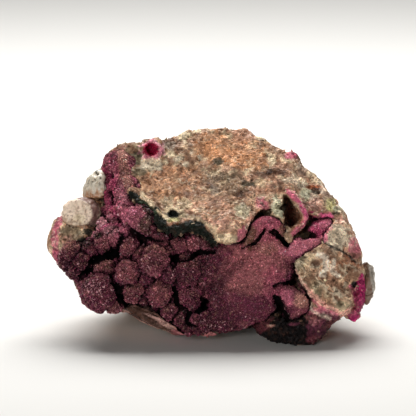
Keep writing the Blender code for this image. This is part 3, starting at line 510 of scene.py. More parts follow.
# What shows in a hollow, laid on after the painted shade that its depth gives it.
HOLLOW_STAINS = [
    (CRIMSON, -15.1, 49.2, 2.2, 1.9, 1), (PITCH, -9.4, 32.9, 1.7, 1.05, 1),
    (RUST, 20.8, 31.8, 2.2, 3, 0.45), (MAGENTA, 37.8, 13.6, 1.5, 4.8, 0.8), (BLACK, 35.8, 15.4, 0.9, 1, 1),
]
DRUSE_STAINS = [
    (PINK, -23.4, 40, 5, 9, 0.8), (MAGENTA, -25.6, 38.6, 1.6, 5, 0.5), (MAUVE, -20.8, 39.6, 1.6, 1.6, 0.7),
    (LIGHT_PINK, -20.6, 37, 3.8, 5.2, 0.85), (LIGHT_PINK, -25.6, 29.4, 5, 3.6, 0.9),
    (BLUSH, -26.6, 29.4, 3.6, 2.8, 0.65), (BLUSH, -22.2, 38.4, 2, 3.4, 0.35),
    (LIGHT_PINK, -19.4, 32.6, 3, 2.6, 0.8), (DRAB, -16.2, 30.4, 1.8, 2.4, 0.6),
    (ROSE, -20.7, 19, 3, 2.6, 0.7), (ROSE, -26, 26, 2.6, 2, 0.5), (ROSE, -12.6, 13.4, 2.6, 2.4, 0.6),
    (ROSE, -20.6, 24.8, 2.2, 2.2, 0.6), (PLUM, -14, 20, 5, 4.6, 0.6), (ROSE, 13, 24, 8, 7, 0.95),
    (PINK, 14, 27.6, 2.4, 3, 0.6), (PINK, 13.6, 31, 4.4, 2, 0.7), (ROSE, 8.4, 18, 7.4, 5, 0.8),
    (PLUM, 8, 10, 9, 4, 0.6), (GRAPE, 3, 8, 5, 4, 0.6), (GRAPE, 1, 18, 3.6, 6, 0.5),
    (DUSTY, 9.6, 14.6, 5, 2, 0.5), (LIGHT_PINK, 22.8, 25.2, 5.4, 3.6, 1), (SALMON, 23.2, 25.8, 5, 3, 0.15),
    (CERISE, 27.2, 29.6, 3, 2.6, 0.85), (LIGHT_PINK, 28.6, 30.6, 2, 1.8, 0.9),
    (LIGHT_PINK, 18.8, 12.4, 2, 2.4, 0.8), (SALMON, 22.6, 11.6, 2, 2.2, 0.95),
    (PINK, 15.6, 16, 2.8, 4.6, 0.5), (GRAPE, -33.6, 20.6, 3.8, 4.6, 0.9), (PITCH, -28.2, 27.6, 1.1, 0.8, 1),
    (PITCH, -31.6, 25.6, 2.2, 1.3, 1), (ROSE, -7, 26, 10, 2.4, 0.5), (GRAPE, -5.8, 18.2, 4, 3.4, 0.5),
    (GRAPE, -4, 6, 6, 3.4, 0.7), (UMBER, 10.6, 25.6, 1.4, 2, 0.6), (BROWN, 9.6, 27.8, 1.8, 3.2, 0.85),
    (BROWN, 18.6, 28.8, 1.6, 2.4, 0.8), (TAN, 14, 24.4, 2.6, 2, 0.35),
]
DRUSE_SEAMS = [
    (SALMON, 1.5, 0.95, [(-22.4, 49), (-22, 45.6), (-21.4, 42.4), (-20.4, 40)]),
    (LIGHT_PINK, 0.4, 0.7, [(-26.6, 46.6), (-24.6, 45), (-24, 43)]),
    *BLACK_BAND,
    (CERISE, 0.6, 0.8, [(-25.8, 36.6), (-24.6, 34.4), (-23.8, 32.6)]),
    (BLACK, 1.5, 1, [(16.6, 11.4), (17.8, 8.6), (19.6, 5.6)]),
    (GRAPE, 1.2, 0.6, [(0.6, 13), (3.6, 17.4), (7, 20.6)]),
    (CERISE, 0.4, 0.8, [(-28, 28.8), (-26.2, 30.2), (-24.2, 30.6), (-22.6, 30.2)]),
    (MAGENTA, 0.6, 0.6, [(-26.6, 44.2), (-24.6, 42), (-23.4, 39)]),
]
# The gaps between the druse's lumps, pressed in and painted black as painted shade: (half width, points on
# the show side).
CREVICES = [
    (1.1, [(-29.8, 21), (-26.6, 22.4), (-23.4, 23.2)]), (0.6, [(-23.2, 23), (-23, 25.8), (-22, 27.2)]),
    (0.6, [(-32.8, 17.2), (-31.2, 18.6), (-29.8, 21)]), (1, [(-24, 15.6), (-23, 13.6), (-22.2, 11.4)]),
    (0.8, [(-9.8, 22.6), (-7.8, 21.4), (-5.2, 22), (-2.8, 23.4), (0.8, 23.8)]),
    (0.6, [(-9.2, 21), (-9.3, 19.6)]), (0.7, [(-9.2, 14.6), (-8.6, 12.4), (-8.2, 10.6)]),
    (0.8, [(-2, 12.4), (-1.9, 11), (-1.8, 9.6), (-3, 8.8)]),
    (0.8, [(-7.6, 10), (-5.4, 8.4), (-6, 6), (-3.8, 4.6)]), (0.8, [(-20, 29), (-16.4, 26.8), (-12, 26.4)]),
    (0.6, [(15.8, 15), (17.6, 15.8), (20.2, 15.8)]), (0.3, [(20.2, 15.8), (23.6, 12.8), (25.2, 10.8)]),
    (0.9, [(16, 12.4), (17.4, 9.4), (19, 6.6)]), (0.6, [(15.6, 28.8), (17.4, 26.9), (19.2, 25.4)]),
    (0.4, [(13.6, 29.2), (11, 25.8), (7.6, 24.4)]), (1, [(23.2, 27.4), (24.6, 28), (26.2, 27.8)]),
    (0.7, [(-24.6, 42.8), (-24.2, 42)]), (0.6, [(-25.1, 38.6), (-24.8, 35.2)]),
    (0.6, [(-27.4, 33.2), (-25.4, 31.2)]),
]
# Where more crystals are painted pale as glints, a painted highlight: (x, h, half width, half height).
SPARKLES = [
    (-28.4, 14.6, 2.8, 1.8), (-26.8, 11.4, 2.6, 1.4), (-38.6, 25, 1.6, 6), (-16.2, 20.4, 2, 1.6),
    (-2.6, 25.6, 2, 1.8), (-10, 19.6, 1.4, 1.2), (0.4, 5.6, 2.6, 1.6),
]
# How a stain's strength rises across its edge.
CRISP = (0.35, 0.62)
SOFT = (0.05, 0.9)
SPECKLE = 1.2  # how much weak stains break up


def within(x, h, at_x, at_h, wide, tall, wobble=0):
    """1 inside an ellipse of the show side whose edge wobbles, fading to 0 outside."""
    return 1 - ramp(np.hypot((x - at_x) / wide, (h - at_h) / tall) + wobble, 0.5, 1.3)


def distance_to(x, h, path):
    """How far each point is from a path of the show side, in millimetres."""
    nearest = np.full(len(x), np.inf)
    for (x0, h0), (x1, h1) in zip(path, path[1:]):
        run_x, run_h = x1 - x0, h1 - h0
        t = np.clip(((x - x0) * run_x + (h - h0) * run_h) / (run_x ** 2 + run_h ** 2), 0, 1)
        nearest = np.minimum(nearest, np.hypot(x - x0 - t * run_x, h - h0 - t * run_h))
    return nearest


def along(x, h, path, half_width, wobble=0):
    """1 on a path of the show side, fading to 0 at its half width."""
    return 1 - ramp(distance_to(x, h, path) / half_width + wobble, 0.4, 1.3)


def plain(colour, points):
    return np.repeat(colour[None], len(points), axis=0)


def mixed(colours, *layers):
    """Colours with each layer laid over them; a layer is a colour and its amount at each point."""
    for colour, amount in layers:
        colours = colours + (colour - colours) * amount[:, None]
    return colours


def stained(colours, points, stains, seams, shown, wobble, edges):
    """Colours with the stains and seams laid over them, where shown is 1; edges says how soft they are."""
    x, h, _ = layout(points)
    edge = wobble * cloud(points, 1.6, 3, seed=5)
    speckle = cloud(points, 0.8, 2, seed=6)
    spots = ((colour, strength, within(x, h, *ellipse, edge))
             for colour, *ellipse, strength in stains)
    lines = ((colour, strength, along(x, h, path, half_width, edge))
             for colour, half_width, strength, path in seams)
    for colour, strength, inside in chain(spots, lines):
        speckled = inside * (1 + SPECKLE * (1 - strength ** 2) * speckle)
        colours = mixed(colours, (colour, strength * shown * ramp(speckled, *edges)))
    return colours


def paint(obj, colours):
    """Keeps a colour at each point of the mesh, for its material to read."""
    layer = obj.data.color_attributes.new("tint", "FLOAT_COLOR", "POINT")
    with_alpha = np.ones((len(colours), 4), np.float32)
    with_alpha[:, :3] = np.clip(colours, 0, 1)
    layer.data.foreach_set("color", with_alpha.ravel())


# ------ grains and crystals

TRIES_PER_SPOT = 1.6
SUNK = 0.45  # how deep a crystal's foot is in the surface, as a share of its radius


def spots_on(obj, shown, spacing, seed):
    """Places about spacing apart on the faces where shown is high: points, normals and face numbers."""
    rng = np.random.default_rng(seed)
    faces = obj.data.polygons
    points = points_of(obj)
    weight = read(faces, "area", 1) * shown
    tries = int(TRIES_PER_SPOT * weight.sum() / (spacing * MM) ** 2)
    picked = rng.choice(len(faces), tries, p=weight / weight.sum())
    a, b, c = (points[corner[picked]] for corner in corners_of(obj))
    u, v = rng.random((2, tries, 1))
    where = a + u * (b - a) + v * (c - b)
    kept, taken = [], set()
    for index, cell in enumerate(map(tuple, np.floor(where / (spacing * MM)).astype(int).tolist())):
        if cell not in taken:
            taken.add(cell)
            kept.append(index)
    return where[kept], read(faces, "normal")[picked[kept]], picked[kept]


def unit(vectors):
    return vectors / np.maximum(np.linalg.norm(vectors, axis=1, keepdims=True), 1e-12)


def spikes(name, where, normals, radius, steepness, lean, colours, seed):
    """Three-sided crystal points sunk into a surface, one at each place, as one mesh."""
    rng = np.random.default_rng(seed)
    count = len(where)
    axis = unit(normals + lean * rng.normal(size=(count, 3)))
    side = unit(np.cross(axis, rng.normal(size=(count, 3))))
    other = np.cross(axis, side)
    radius = radius[:, None] * MM
    corners = np.empty((count, 4, 3))
    for k in range(3):
        turn = math.tau * k / 3 + rng.uniform(-0.35, 0.35, (count, 1))
        out = radius * rng.uniform(0.75, 1.3, (count, 1))
        corners[:, k] = where + out * (np.cos(turn) * side + np.sin(turn) * other) - SUNK * radius * axis
    off = 0.35 * radius * rng.normal(size=(count, 1))
    corners[:, 3] = where + steepness * radius * rng.uniform(0.6, 1.25, (count, 1)) * axis + off * side
    first = 4 * np.arange(count)[:, None, None]
    faces = (np.array([(0, 2, 1), (0, 1, 3), (1, 2, 3), (2, 0, 3)])[None] + first).reshape(-1, 3)
    mesh = bpy.data.meshes.new(name)
    mesh.from_pydata(corners.reshape(-1, 3).tolist(), [], faces.tolist())
    obj = linked(name, mesh)
    paint(obj, np.repeat(colours, 4, axis=0))
    return obj


# ------ pieces

# On the lumpy left of the druse and on its smooth right: how dark it is painted under its crystals, as
# painted shade between them, how steep they are, and how much their tones differ.
DRUSE_GROUND = (0.4, 0.55)
CRYSTAL_STEEPNESS = (0.75, 0.55)
CRYSTAL_CONTRAST = (0.5, 0.4)
CRYSTAL_SPACING, CRYSTAL_RADIUS = 0.32, 0.25  # mm
GRAIN_RADIUS, LOWEST_GRAIN = 0.5, 0.8  # mm, the second above the floor
GRAIN_STEEPNESS = 0.15
CRYSTAL_LEAN, GRAIN_LEAN = 0.45, 0.25  # how much their axes stray
LUMP_TONES = 3  # the seed of the lumps' tones
BACK_SHADE = 0.25  # how much darker the rock is behind
FACET_SHADE = 0.25  # how much the rock's facets differ
FRONT_DEPTH, FRONT_FADE = 24, 3  # mm behind the show side's plane, where its stains end
FACE_DEPTH = 16  # mm, where its relief ends
SMOOTH_BELOW = 0.4  # mm above the floor, where the rock is left as it stands
# Places on the show side: x, h, half width and half height.
ROOF_EDGE = (-21.6, 44.5, 3.2, 7)  # where the druse laps onto the rock
GLASSY_TOP = (4.5, 48.6, 10, 6)  # the smooth part of the roof
RIGHT_FACE = (28.5, 17, 9.5, 9)
BASE_CRUST = (18.6, 4, 14, 8)
BLADE_SEAT = (37.8, 13, 2.2, 6.5)  # where the rock meets the edge crystal
CLEAN_SADDLE = (22.8, 25.4, 6, 4.2)  # no dark specks here
VUG_RIM = (-15.2, 49.2, 4.4, 4)  # the round hole's rim
WEDGE = [(-21.5, 9.8), (-14, 7), (-6.5, 3)]  # the splinter of rock under the druse
WEDGE_SLOPE = -26  # degrees
WEDGE_HALF_WIDTH = 2.6
# Feature sizes of the relief, in millimetres.
BROAD_FACET, FINE_FACET, FACE_BLADE, PIT, BACK_SLAB = 3.6, 1.3, 2.3, 1.5, 8
KNOB, CRYSTAL_BREAK = 1.7, 2.2
CRYSTAL_GRAIN = 0.3  # mm, the height of the pale crystals' own relief


def front_of(points, normals):
    """1 on what the show side faces, 0 on the back."""
    _, _, d = layout(points)
    toward = -normals @ np.array(leaned(0, 0, 1) / MM)
    return (1 - ramp(d, FRONT_DEPTH - FRONT_FADE, FRONT_DEPTH + FRONT_FADE)) * ramp(toward, -0.6, -0.1)


RockRelief = namedtuple("RockRelief", "shade ridge wedge flakes pits")


def rock_form():
    """The host rock's node on a fine grid, broken into small tilted faces; also the relief's parts."""
    obj = copy_of("host_rock", "host_rock_surface")
    refine(obj, ROCK_VOXEL, 3)
    points = points_of(obj)
    x, h, d = layout(points)
    broad, fine = cells(points, BROAD_FACET, seed=1), cells(points, FINE_FACET, seed=2)
    relief = 0.4 * broad.plane + 0.3 * fine.plane + 0.12 * cloud(points, 0.9, 2, seed=3)
    relief *= 1 - 0.6 * within(x, h, *GLASSY_TOP)
    face = within(x, h, *RIGHT_FACE, 0.2 * cloud(points, 3, 2, seed=4)) * (d < FACE_DEPTH)
    blades = 1 - ramp(cells(points, FACE_BLADE, seed=7).border, 0.05, 0.2)
    ridge = face * blades * ramp(cloud(points, 2.2, 2, seed=18), -0.1, 0.25)
    relief = relief * (1 - 0.5 * face) + 0.45 * ridge
    wedge = along(x, h, WEDGE, WEDGE_HALF_WIDTH) * (d < FACE_DEPTH)
    relief = relief * (1 - 0.8 * wedge) + 0.5 * wedge * streaks(points, WEDGE_SLOPE, 8, 0.8, seed=15)
    band = np.maximum.reduce([along(x, h, path, half_width) for _, half_width, _, path in BLACK_BAND])
    relief += 0.9 * band * cloud(points, 1, 3, seed=24)
    crusty = np.maximum(within(x, h, *BASE_CRUST), within(x, h, *VUG_RIM)) * (d < FACE_DEPTH)
    relief += 0.8 * crusty * cloud(points, 1.5, 3, seed=25)
    relief += 0.9 * within(x, h, *BLADE_SEAT)
    patchy = ramp(cloud(points, 3, 2, seed=19), -0.1, 0.3)
    lines = 1 - ramp(abs(cloud(points, (1.6, 1.6, 1.1), 2, seed=22)), 0.02, 0.09)
    flakes = lines * patchy * (1 - face) * (1 - wedge)
    pits = 1 - ramp(cells(points, PIT, seed=23).reach, 0.12, 0.32)
    relief += 0.2 * flakes - 0.4 * pits
    behind = ramp(1 - front_of(points, normals_of(obj)), 0.6, 1)
    slabs = cells(points, BACK_SLAB, seed=27)
    slab = 1.3 * slabs.plane * ramp(slabs.border, 0, 0.3)
    relief += behind * (slab + 0.5 * cloud(points, 3, 3, seed=28))
    raise_by(obj, np.where(points[:, 2] < SMOOTH_BELOW * MM, 0, relief))
    points = points_of(obj)
    points[:, 2] = np.maximum(points[:, 2], 0)  # nothing dips into the floor
    move_to(obj, points)
    return obj, RockRelief(fine.shade, ridge, wedge, flakes, pits)


def lump_distances(points):
    """How far each point is outside the nearest lump and the next one, and the nearest one's number."""
    where = np.column_stack(layout(points))
    balls = np.array(LUMPS)
    out = np.stack([np.linalg.norm(where - ball[:3], axis=1) - ball[3] * LUMP_SCALE for ball in balls])
    return *np.sort(out, axis=0)[:2], out.argmin(axis=0)


DruseRelief = namedtuple("DruseRelief", "gaps tone between")


def druse_form():
    """The druse's lobes and lumps as one body, knobbly, and drawn in where its lumps meet."""
    obj = joined("druse_crust", [lobe_mesh(lobe) for lobe in LOBES] + [lump_mesh(*lump) for lump in LUMPS])
    refine(obj, DRUSE_VOXEL, 2)
    points = points_of(obj)
    x, h, _ = layout(points)
    across = x + 0.3 * (h - 16)  # from the lumpy left to the smooth lobe
    knobs = cells(points, KNOB, seed=14)
    botryoidal = 1 - ramp(across, 0, 4)
    relief = 0.15 + 0.25 * cloud(points, 2.4, 2, seed=8) + 0.12 * cloud(points, 0.8, 2, seed=9)
    relief += (0.1 + 0.3 * botryoidal) * (1 - (knobs.reach / 0.6) ** 2).clip(-1, 1)
    nearest, second, lump = lump_distances(points)
    lumpy = (1 - ramp(across, -4, 0)) * (1 - ramp(h + 0.5 * x, 18, 24))
    seam_width = 0.8 + 0.7 * cloud(points, 2, 2, seed=26)
    seam = 1 - ramp(second - nearest, 0, seam_width)
    crease = lumpy * np.maximum(0.75 * seam, 0.9 * ramp(nearest, 0.7, 2.4))
    gaps = gaps_between(x, h, points)
    front = front_of(points, normals_of(obj))
    raise_by(obj, relief + front * (within(x, h, *ROOF_EDGE) - 0.7 * crease - gaps))
    tone = np.random.default_rng(LUMP_TONES).uniform(-1, 1, len(LUMPS))[lump] * lumpy * (nearest < 1)
    return obj, DruseRelief(np.maximum(crease, gaps), tone, botryoidal * ramp(knobs.reach, 0.35, 0.75))


def gaps_between(x, h, points):
    """1 in the middle of a crevice of the druse, falling off to 0 where the lumps round over into it."""
    wobble = 0.25 * cloud(points, 1.6, 2, seed=16)
    gaps = np.zeros(len(x))
    for half_width, path in CREVICES:
        gaps = np.maximum(gaps, 1 - ramp(distance_to(x, h, path) / half_width + wobble, 0.1, 1.5))
    return gaps


def rock_colours(points, normals, free, relief):
    x, h, _ = layout(points)
    shown = front_of(points, normals)
    broad = cloud(points, 7, 3, seed=10)
    mid = cloud(points, 2.4, 2, seed=11)
    fine = cloud(points, 0.6, 2, seed=12)
    grain = streaks(points, WEDGE_SLOPE, 8, 0.6, seed=17)
    colours = mixed(
        plain(TAN, points),
        (BROWN, 0.6 * ramp(broad, 0, 0.5)),
        (CLAY, 0.7 * ramp(-broad, 0, 0.5)),
        (PINK, 0.45 * (1 - shown) * ramp(cloud(points, 12, 2, seed=13), 0.15, 0.45)),
        (GREY, 0.7 * (1 - shown) * ramp(cloud(points, 9, 3, seed=29), 0, 0.3)),
        (CREAM, (0.25 + 0.3 * shown) * ramp(mid, 0.15, 0.45)),
        (BROWN, (0.5 + 0.35 * shown) * ramp(-mid, 0.05, 0.35)))
    colours *= 1 - BACK_SHADE + BACK_SHADE * shown[:, None]
    colours = mixed(
        colours,
        (SPLINTER, 0.9 * relief.wedge),
        (UMBER, relief.wedge * ramp(grain, -0.2, 0.1)))
    colours = stained(colours, points, ROCK_STAINS, ROCK_SEAMS, shown, 0.45, CRISP)
    colours *= 1 + FACET_SHADE * relief.shade[:, None]
    colours = mixed(colours, (WHITE, 0.6 * relief.ridge))
    lit = ramp(colours.mean(axis=1), 0.05, 0.2)
    calm = 1 - 0.6 * within(x, h, *GLASSY_TOP)
    colours = mixed(
        colours,
        (IVORY, 0.7 * calm * lit * relief.flakes),
        (UMBER, 0.4 * calm * ramp(-fine, 0.22, 0.55)),
        (UMBER, 0.5 * calm * relief.pits),
        # painted shade: the more closed in a point is, the blacker it is painted
        (BLACK, 0.9 * ramp(1 - free, 0.45, 0.9)))
    return stained(colours, points, HOLLOW_STAINS, [], shown, 0.1, CRISP)


def druse_colours(points, normals, free, relief):
    x, h, _ = layout(points)
    shown = front_of(points, normals)
    mid = cloud(points, 3.2, 3, seed=20)
    fine = cloud(points, 0.7, 2, seed=21)
    # painted light: top is high where the surface faces up and towards the front
    top = ramp(normals @ np.array(leaned(0, 0.8, -0.6) / MM), 0.5, 1)
    colours = mixed(
        plain(PLUM, points),
        (GRAPE, 0.8 * ramp(mid, -0.1, 0.5)),
        (ROSE, 0.5 * ramp(-mid, 0.1, 0.6)),
        (DUSTY, 0.5 * ramp(relief.tone, 0.1, 0.9)),
        (GRAPE, 0.6 * ramp(-relief.tone, 0.1, 0.9)),
        # painted highlights on the upward-facing tops of the lumps
        (DUSTY, 0.25 * top),
        (TAN, 0.4 * top * ramp(relief.tone, -0.2, 0.6)))
    return mixed(
        stained(colours, points, DRUSE_STAINS, DRUSE_SEAMS, shown, 0.4, SOFT),
        (WINE, 0.7 * (1 - within(x, h, *CLEAN_SADDLE)) * ramp(-fine, 0.1, 0.5)),
        # painted shade: the low ground between the knobs is painted darker
        (GRAPE, 0.45 * relief.between),
        # painted shade: the crevices and creases between the lumps are painted black
        (BLACK, 0.97 * ramp(relief.gaps, 0.25, 0.9) * ramp(shown, 0.2, 0.6)),
        # painted shade: the more closed in a point is, the blacker it is painted
        (BLACK, 0.95 * ramp(1 - free, 0.35, 0.85)))


def thinned(obj, triangles):
    """Brings a finished surface down to about this many triangles, where it is flattest."""
    thin = obj.modifiers.new("thin", "DECIMATE")
    thin.ratio = triangles / sum(face.loop_total - 2 for face in obj.data.polygons)
    bake(obj)


def sparkling(where):
    """How likely a crystal is to be painted pale, as a painted glint."""
    x, h, _ = layout(where)
    share = np.full(len(where), 0.015)
    for at_x, at_h, wide, tall in SPARKLES:
        share = np.maximum(share, 0.3 * within(x, h, at_x, at_h, wide, tall))
    return share


def sideways(points, ends):
    """The first value on the lumpy left of the druse, the second on its smooth right."""
    x, _, _ = layout(points)
    return ends[0] + (ends[1] - ends[0]) * ramp(x, -2, 4)


def crystals_on(obj, colours, free, seed):
    """A coat of small dolomite points over the open part of the druse."""
    shown = face_values(obj, ramp(free, 0.1, 0.3))
    where, normals, faces = spots_on(obj, shown, CRYSTAL_SPACING, seed)
    rng = np.random.default_rng(seed)
    tint = face_values(obj, colours)[faces]
    open_share = face_values(obj, ramp(free, 0.35, 0.8))[faces]
    tint = tint * rng.lognormal(0, sideways(where, CRYSTAL_CONTRAST))[:, None]
    tint = mixed(tint, (MAGENTA, 0.35 * rng.random(len(where)) ** 2))
    tint = mixed(tint, (TAN, 0.4 * rng.random(len(where)) ** 4 * open_share))
    # painted highlight: a few crystals are painted pale as glints, mostly where the druse is open
    painted_glint = (rng.random(len(where)) < sparkling(where)) * rng.uniform(0.3, 0.95, len(where))
    tint = mixed(tint, (BLUSH, painted_glint * open_share))
    size = CRYSTAL_RADIUS * rng.lognormal(0, 0.28, len(where)) * (1 + 0.2 * painted_glint)
    steepness = sideways(where, CRYSTAL_STEEPNESS)[:, None]
    return spikes("druse_crystals", where, normals, size, steepness, CRYSTAL_LEAN, tint, seed)


def grains_on(name, obj, colours, free, shown, spacing, seed):
    """Angular flakes over the crumbling parts of the rock, paler and darker than what they stand on."""
    points = points_of(obj)
    rough = ramp(cloud(points, 5, 2, seed), -0.1, 0.25)
    rough *= 1 - within(*layout(points)[:2], *GLASSY_TOP)
    where, normals, faces = spots_on(obj, face_values(obj, shown * rough * (free > 0.25)), spacing, seed)
    above = where[:, 2] > LOWEST_GRAIN * MM
    where, normals, faces = where[above], normals[above], faces[above]
    rng = np.random.default_rng(seed)
    tint = face_values(obj, colours)[faces]
    tint = tint * rng.lognormal(0, 0.25, len(where))[:, None]
    pale = (rng.random(len(where)) < 0.18) * rng.uniform(0.3, 0.9, len(where))
    tint = mixed(tint, (CREAM, pale * ramp(tint.mean(axis=1), 0.03, 0.12)))
    size = GRAIN_RADIUS * rng.lognormal(0, 0.4, len(where))
    return spikes(name, where, normals, size, GRAIN_STEEPNESS, GRAIN_LEAN, tint, seed)


# The milky crystal's flecked disc, and how far out its grey band runs, as a share of the disc.
DISC = (-33.4, 33.2, 3.6, 3.4)
BAND = (1, 1.55)


def milky_colours(points):
    x, h, _ = layout(points)
    at_x, at_h, wide, tall = DISC
    out = np.hypot((x - at_x) / wide, (h - at_h) / tall) + 0.06 * cloud(points, 2, 2, seed=31)
    fleck = cloud(points, 0.6, 3, seed=32)
    right = x > at_x
    line = (1 - ramp(abs(out - BAND[0]), 0.02, 0.07)) + (1 - ramp(abs(out - BAND[1]), 0.02, 0.07))
    return mixed(
        plain(MILK, points),
        (CREAM, 0.7 * within(x, h, at_x + 0.4, at_h - 1.6, 1.8, 1.6)),
        (MILK_BAND, ramp(out, BAND[0] - 0.04, BAND[0] + 0.04) * right),
        (SAND, ramp(out, BAND[1] - 0.05, BAND[1] + 0.05) * right),
        (WHITE, 0.5 * line * right),
        (SAND, 0.8 * ramp(at_h - h + 0.4 * (at_x - x) + 2.5 * fleck, 1.6, 3.2)),
        (BROWN, 0.6 * ramp(fleck, 0.15, 0.5)),
        (WHITE, 0.5 * ramp(-fleck, 0.2, 0.55)))


def clear_colours(points):
    _, h, _ = layout(points)
    streak = cloud(points, (0.8, 0.8, 3), 3, seed=33)
    return mixed(
        plain(GLASS, points),
        (WHITE, 0.6 * ramp(-streak, 0.1, 0.4)),
        (MOSS, 0.9 * ramp(streak, 0.3, 0.5) * ramp(h, 38.5, 42.5)),
        (ORANGE, 0.85 * (1 - ramp(h + 2 * streak, 37, 39.6))))


def edge_colours(points):
    x, h, _ = layout(points)
    streak = cloud(points, (0.5, 0.5, 2), 3, seed=34)
    return mixed(
        plain(EDGE_GREY, points),
        (WHITE, 0.6 * ramp(streak, 0.1, 0.4)),
        (MOSS, 0.5 * ramp(-streak, 0.2, 0.5)),
        (BROWN, 0.9 * (1 - ramp(x + 0.15 * (h - 15) + 0.5 * streak, 40, 40.5))))


# ------ materials

CALCITE_IOR = 1.55  # calcite bends light in two ways, 1.49 and 1.66; this is in between


def fill(tree, node, **inputs):
    """Gives the node's inputs their values; a value may be another node's output."""
    for key, value in inputs.items():
        socket = node.inputs[key.replace("_", " ")]
        if isinstance(value, bpy.types.NodeSocket):
            tree.links.new(value, socket)
        else:
            socket.default_value = value
    return node


def add(tree, kind, settings=None, **inputs):
    node = tree.nodes.new(kind)
    for key, value in (settings or {}).items():
        setattr(node, key, value)
    return fill(tree, node, **inputs)


def new_material(name, **inputs):
    material = bpy.data.materials.new(name)
    material.use_nodes = True
    tree = material.node_tree
    return material, tree, fill(tree, tree.nodes["Principled BSDF"], **inputs)


def places(tree):
    return add(tree, "ShaderNodeTexCoord").outputs["Object"]


def noise_texture(tree, size, detail):
    """Noise with features of about this size in millimetres."""
    return add(tree, "ShaderNodeTexNoise", Vector=places(tree), Scale=1 / (size * MM), Detail=detail)


def cell_texture(tree, where, size, feature="F1"):
    return add(tree, "ShaderNodeTexVoronoi", {"feature": feature}, Vector=where, Scale=1 / (size * MM))


def between(tree, value, low, high, out_low, out_high):
    ends = {"From_Min": low, "From_Max": high, "To_Min": out_low, "To_Max": out_high}
    return add(tree, "ShaderNodeMapRange", Value=value, **ends).outputs["Result"]


def shaded_tint(tree, *factors):
    """The painted tint, multiplied by each factor in turn."""
    colour = add(tree, "ShaderNodeAttribute", {"attribute_name": "tint"}).outputs["Color"]
    for factor in factors:
        scaled = add(tree, "ShaderNodeVectorMath", {"operation": "SCALE"}, Vector=colour, Scale=factor)
        colour = scaled.outputs["Vector"]
    return colour


def bump(tree, height, distance):
    return add(tree, "ShaderNodeBump", Height=height, Distance=distance * MM, Strength=1).outputs["Normal"]


def warped_places(tree, size, amount):
    """Places pushed about by noise, in millimetres, so that what is drawn on them curves."""
    pushed = add(tree, "ShaderNodeVectorMath", {"operation": "MULTIPLY_ADD"})
    pushed.inputs[1].default_value = (amount * MM,) * 3
    tree.links.new(noise_texture(tree, size, 2).outputs["Color"], pushed.inputs[0])
    tree.links.new(places(tree), pushed.inputs[2])
    return pushed.outputs["Vector"]


def math_node(tree, operation, first, second):
    node = add(tree, "ShaderNodeMath", {"operation": operation})
    for socket, value in zip(node.inputs, (first, second)):
        tree.links.new(value, socket)
    return node.outputs["Value"]


def flakes(tree, where, size, patch_size):
    """Thin broken lines, 1 on them and 0 off them."""
    edge = cell_texture(tree, where, size, "DISTANCE_TO_EDGE").outputs["Distance"]
    patch = noise_texture(tree, patch_size, 1).outputs["Fac"]
    line = between(tree, edge, 0.02, 0.11, 1, 0)
    return math_node(tree, "MULTIPLY", line, between(tree, patch, 0.48, 0.56, 0, 1))


def rock_material():
    """The painted tint, broken into small facets with thin curved pale flakes and dark pits."""
    material, tree, shader = new_material("host_rock", Specular_IOR_Level=0.2)
    where = warped_places(tree, 2, 2.4)
    facets = cell_texture(tree, where, 0.9).outputs["Color"]
    facet_light = between(tree, facets, 0.2, 0.8, 0.72, 1.3)
    grain = noise_texture(tree, 0.5, 4).outputs["Fac"]
    light = between(tree, grain, 0.3, 0.7, 0.76, 1.24)
    lines = math_node(tree, "MAXIMUM", flakes(tree, where, 2, 3), flakes(tree, where, 1, 1.6))
    flake_light = between(tree, lines, 0, 1, 0.94, 1.7)
    hole = between(tree, cell_texture(tree, places(tree), 1.1).outputs["Distance"], 0.1, 0.3, 0.4, 1)
    cover = between(tree, noise_texture(tree, 2, 1).outputs["Fac"], 0.4, 0.5, 0, 1)
    colour = shaded_tint(tree, light, facet_light, flake_light, math_node(tree, "MAXIMUM", hole, cover))
    roughness = between(tree, facets, 0.3, 0.7, 0.75, 0.4)
    normal = bump(tree, math_node(tree, "ADD", grain, lines), 0.2)
    fill(tree, shader, Base_Color=colour, Roughness=roughness, Normal=normal)
    return material


def crystal_material(name, roughness, specular, low, high):
    """The painted tint with a fine grain, from low to high times as bright."""
    material, tree, shader = new_material(name, Roughness=roughness, Specular_IOR_Level=specular)
    grain = noise_texture(tree, 0.4, 2).outputs["Fac"]
    colour = shaded_tint(tree, between(tree, grain, 0.3, 0.7, low, high))
    fill(tree, shader, Base_Color=colour, Normal=bump(tree, grain, 0.03))
    return material


def calcite_material(name, roughness, transmission, fog_colour, density):
    """Cloudy, see-through crystal: its painted tint, and a little absorption within."""
    material, tree, shader = new_material(
        name, Roughness=roughness, IOR=CALCITE_IOR, Transmission_Weight=transmission)
    grain = noise_texture(tree, 0.5, 4).outputs["Fac"]
    colour = shaded_tint(tree, between(tree, grain, 0.3, 0.7, 0.85, 1.15))
    fill(tree, shader, Base_Color=colour, Normal=bump(tree, grain, 0.1))
    fog = add(tree, "ShaderNodeVolumeAbsorption", Color=(*fog_colour, 1), Density=density)
    fill(tree, tree.nodes["Material Output"], Volume=fog.outputs["Volume"])
    return material


# ------ stage

FLOOR_COLOUR = (0.74, 0.735, 0.71)
VIEW_WIDTH = 0.104  # m, what the camera sees at the specimen
CAMERA_AWAY = 1.2  # m
CAMERA_TARGET = (-0.75, 34.5, 8)  # x, h and d
SENSOR = 36  # mm
CURVE_STEPS = 24
# The lights: where they stand, width and height, all in metres, power and colour.
LIGHTS = {
    "top_light": ((0, 0.25, 0.43), 0.5, 0.35, 4.8, (1, 0.99, 0.98)),
    "front_light": ((-0.3, -0.92, 0.24), 0.3, 0.3, 3.9, (1, 0.99, 0.97)),
}
LIGHT_TARGET = (0, 0, 0.02)
SKY_STRENGTH = 0.05


def aimed(name, data, at, target):
    """A new camera or light at a place, looking at a target."""
    obj = linked(name, data)
    obj.location = at
    obj.rotation_mode = "QUATERNION"
    obj.rotation_quaternion = (at - target).to_track_quat("Z", "Y")
    return obj


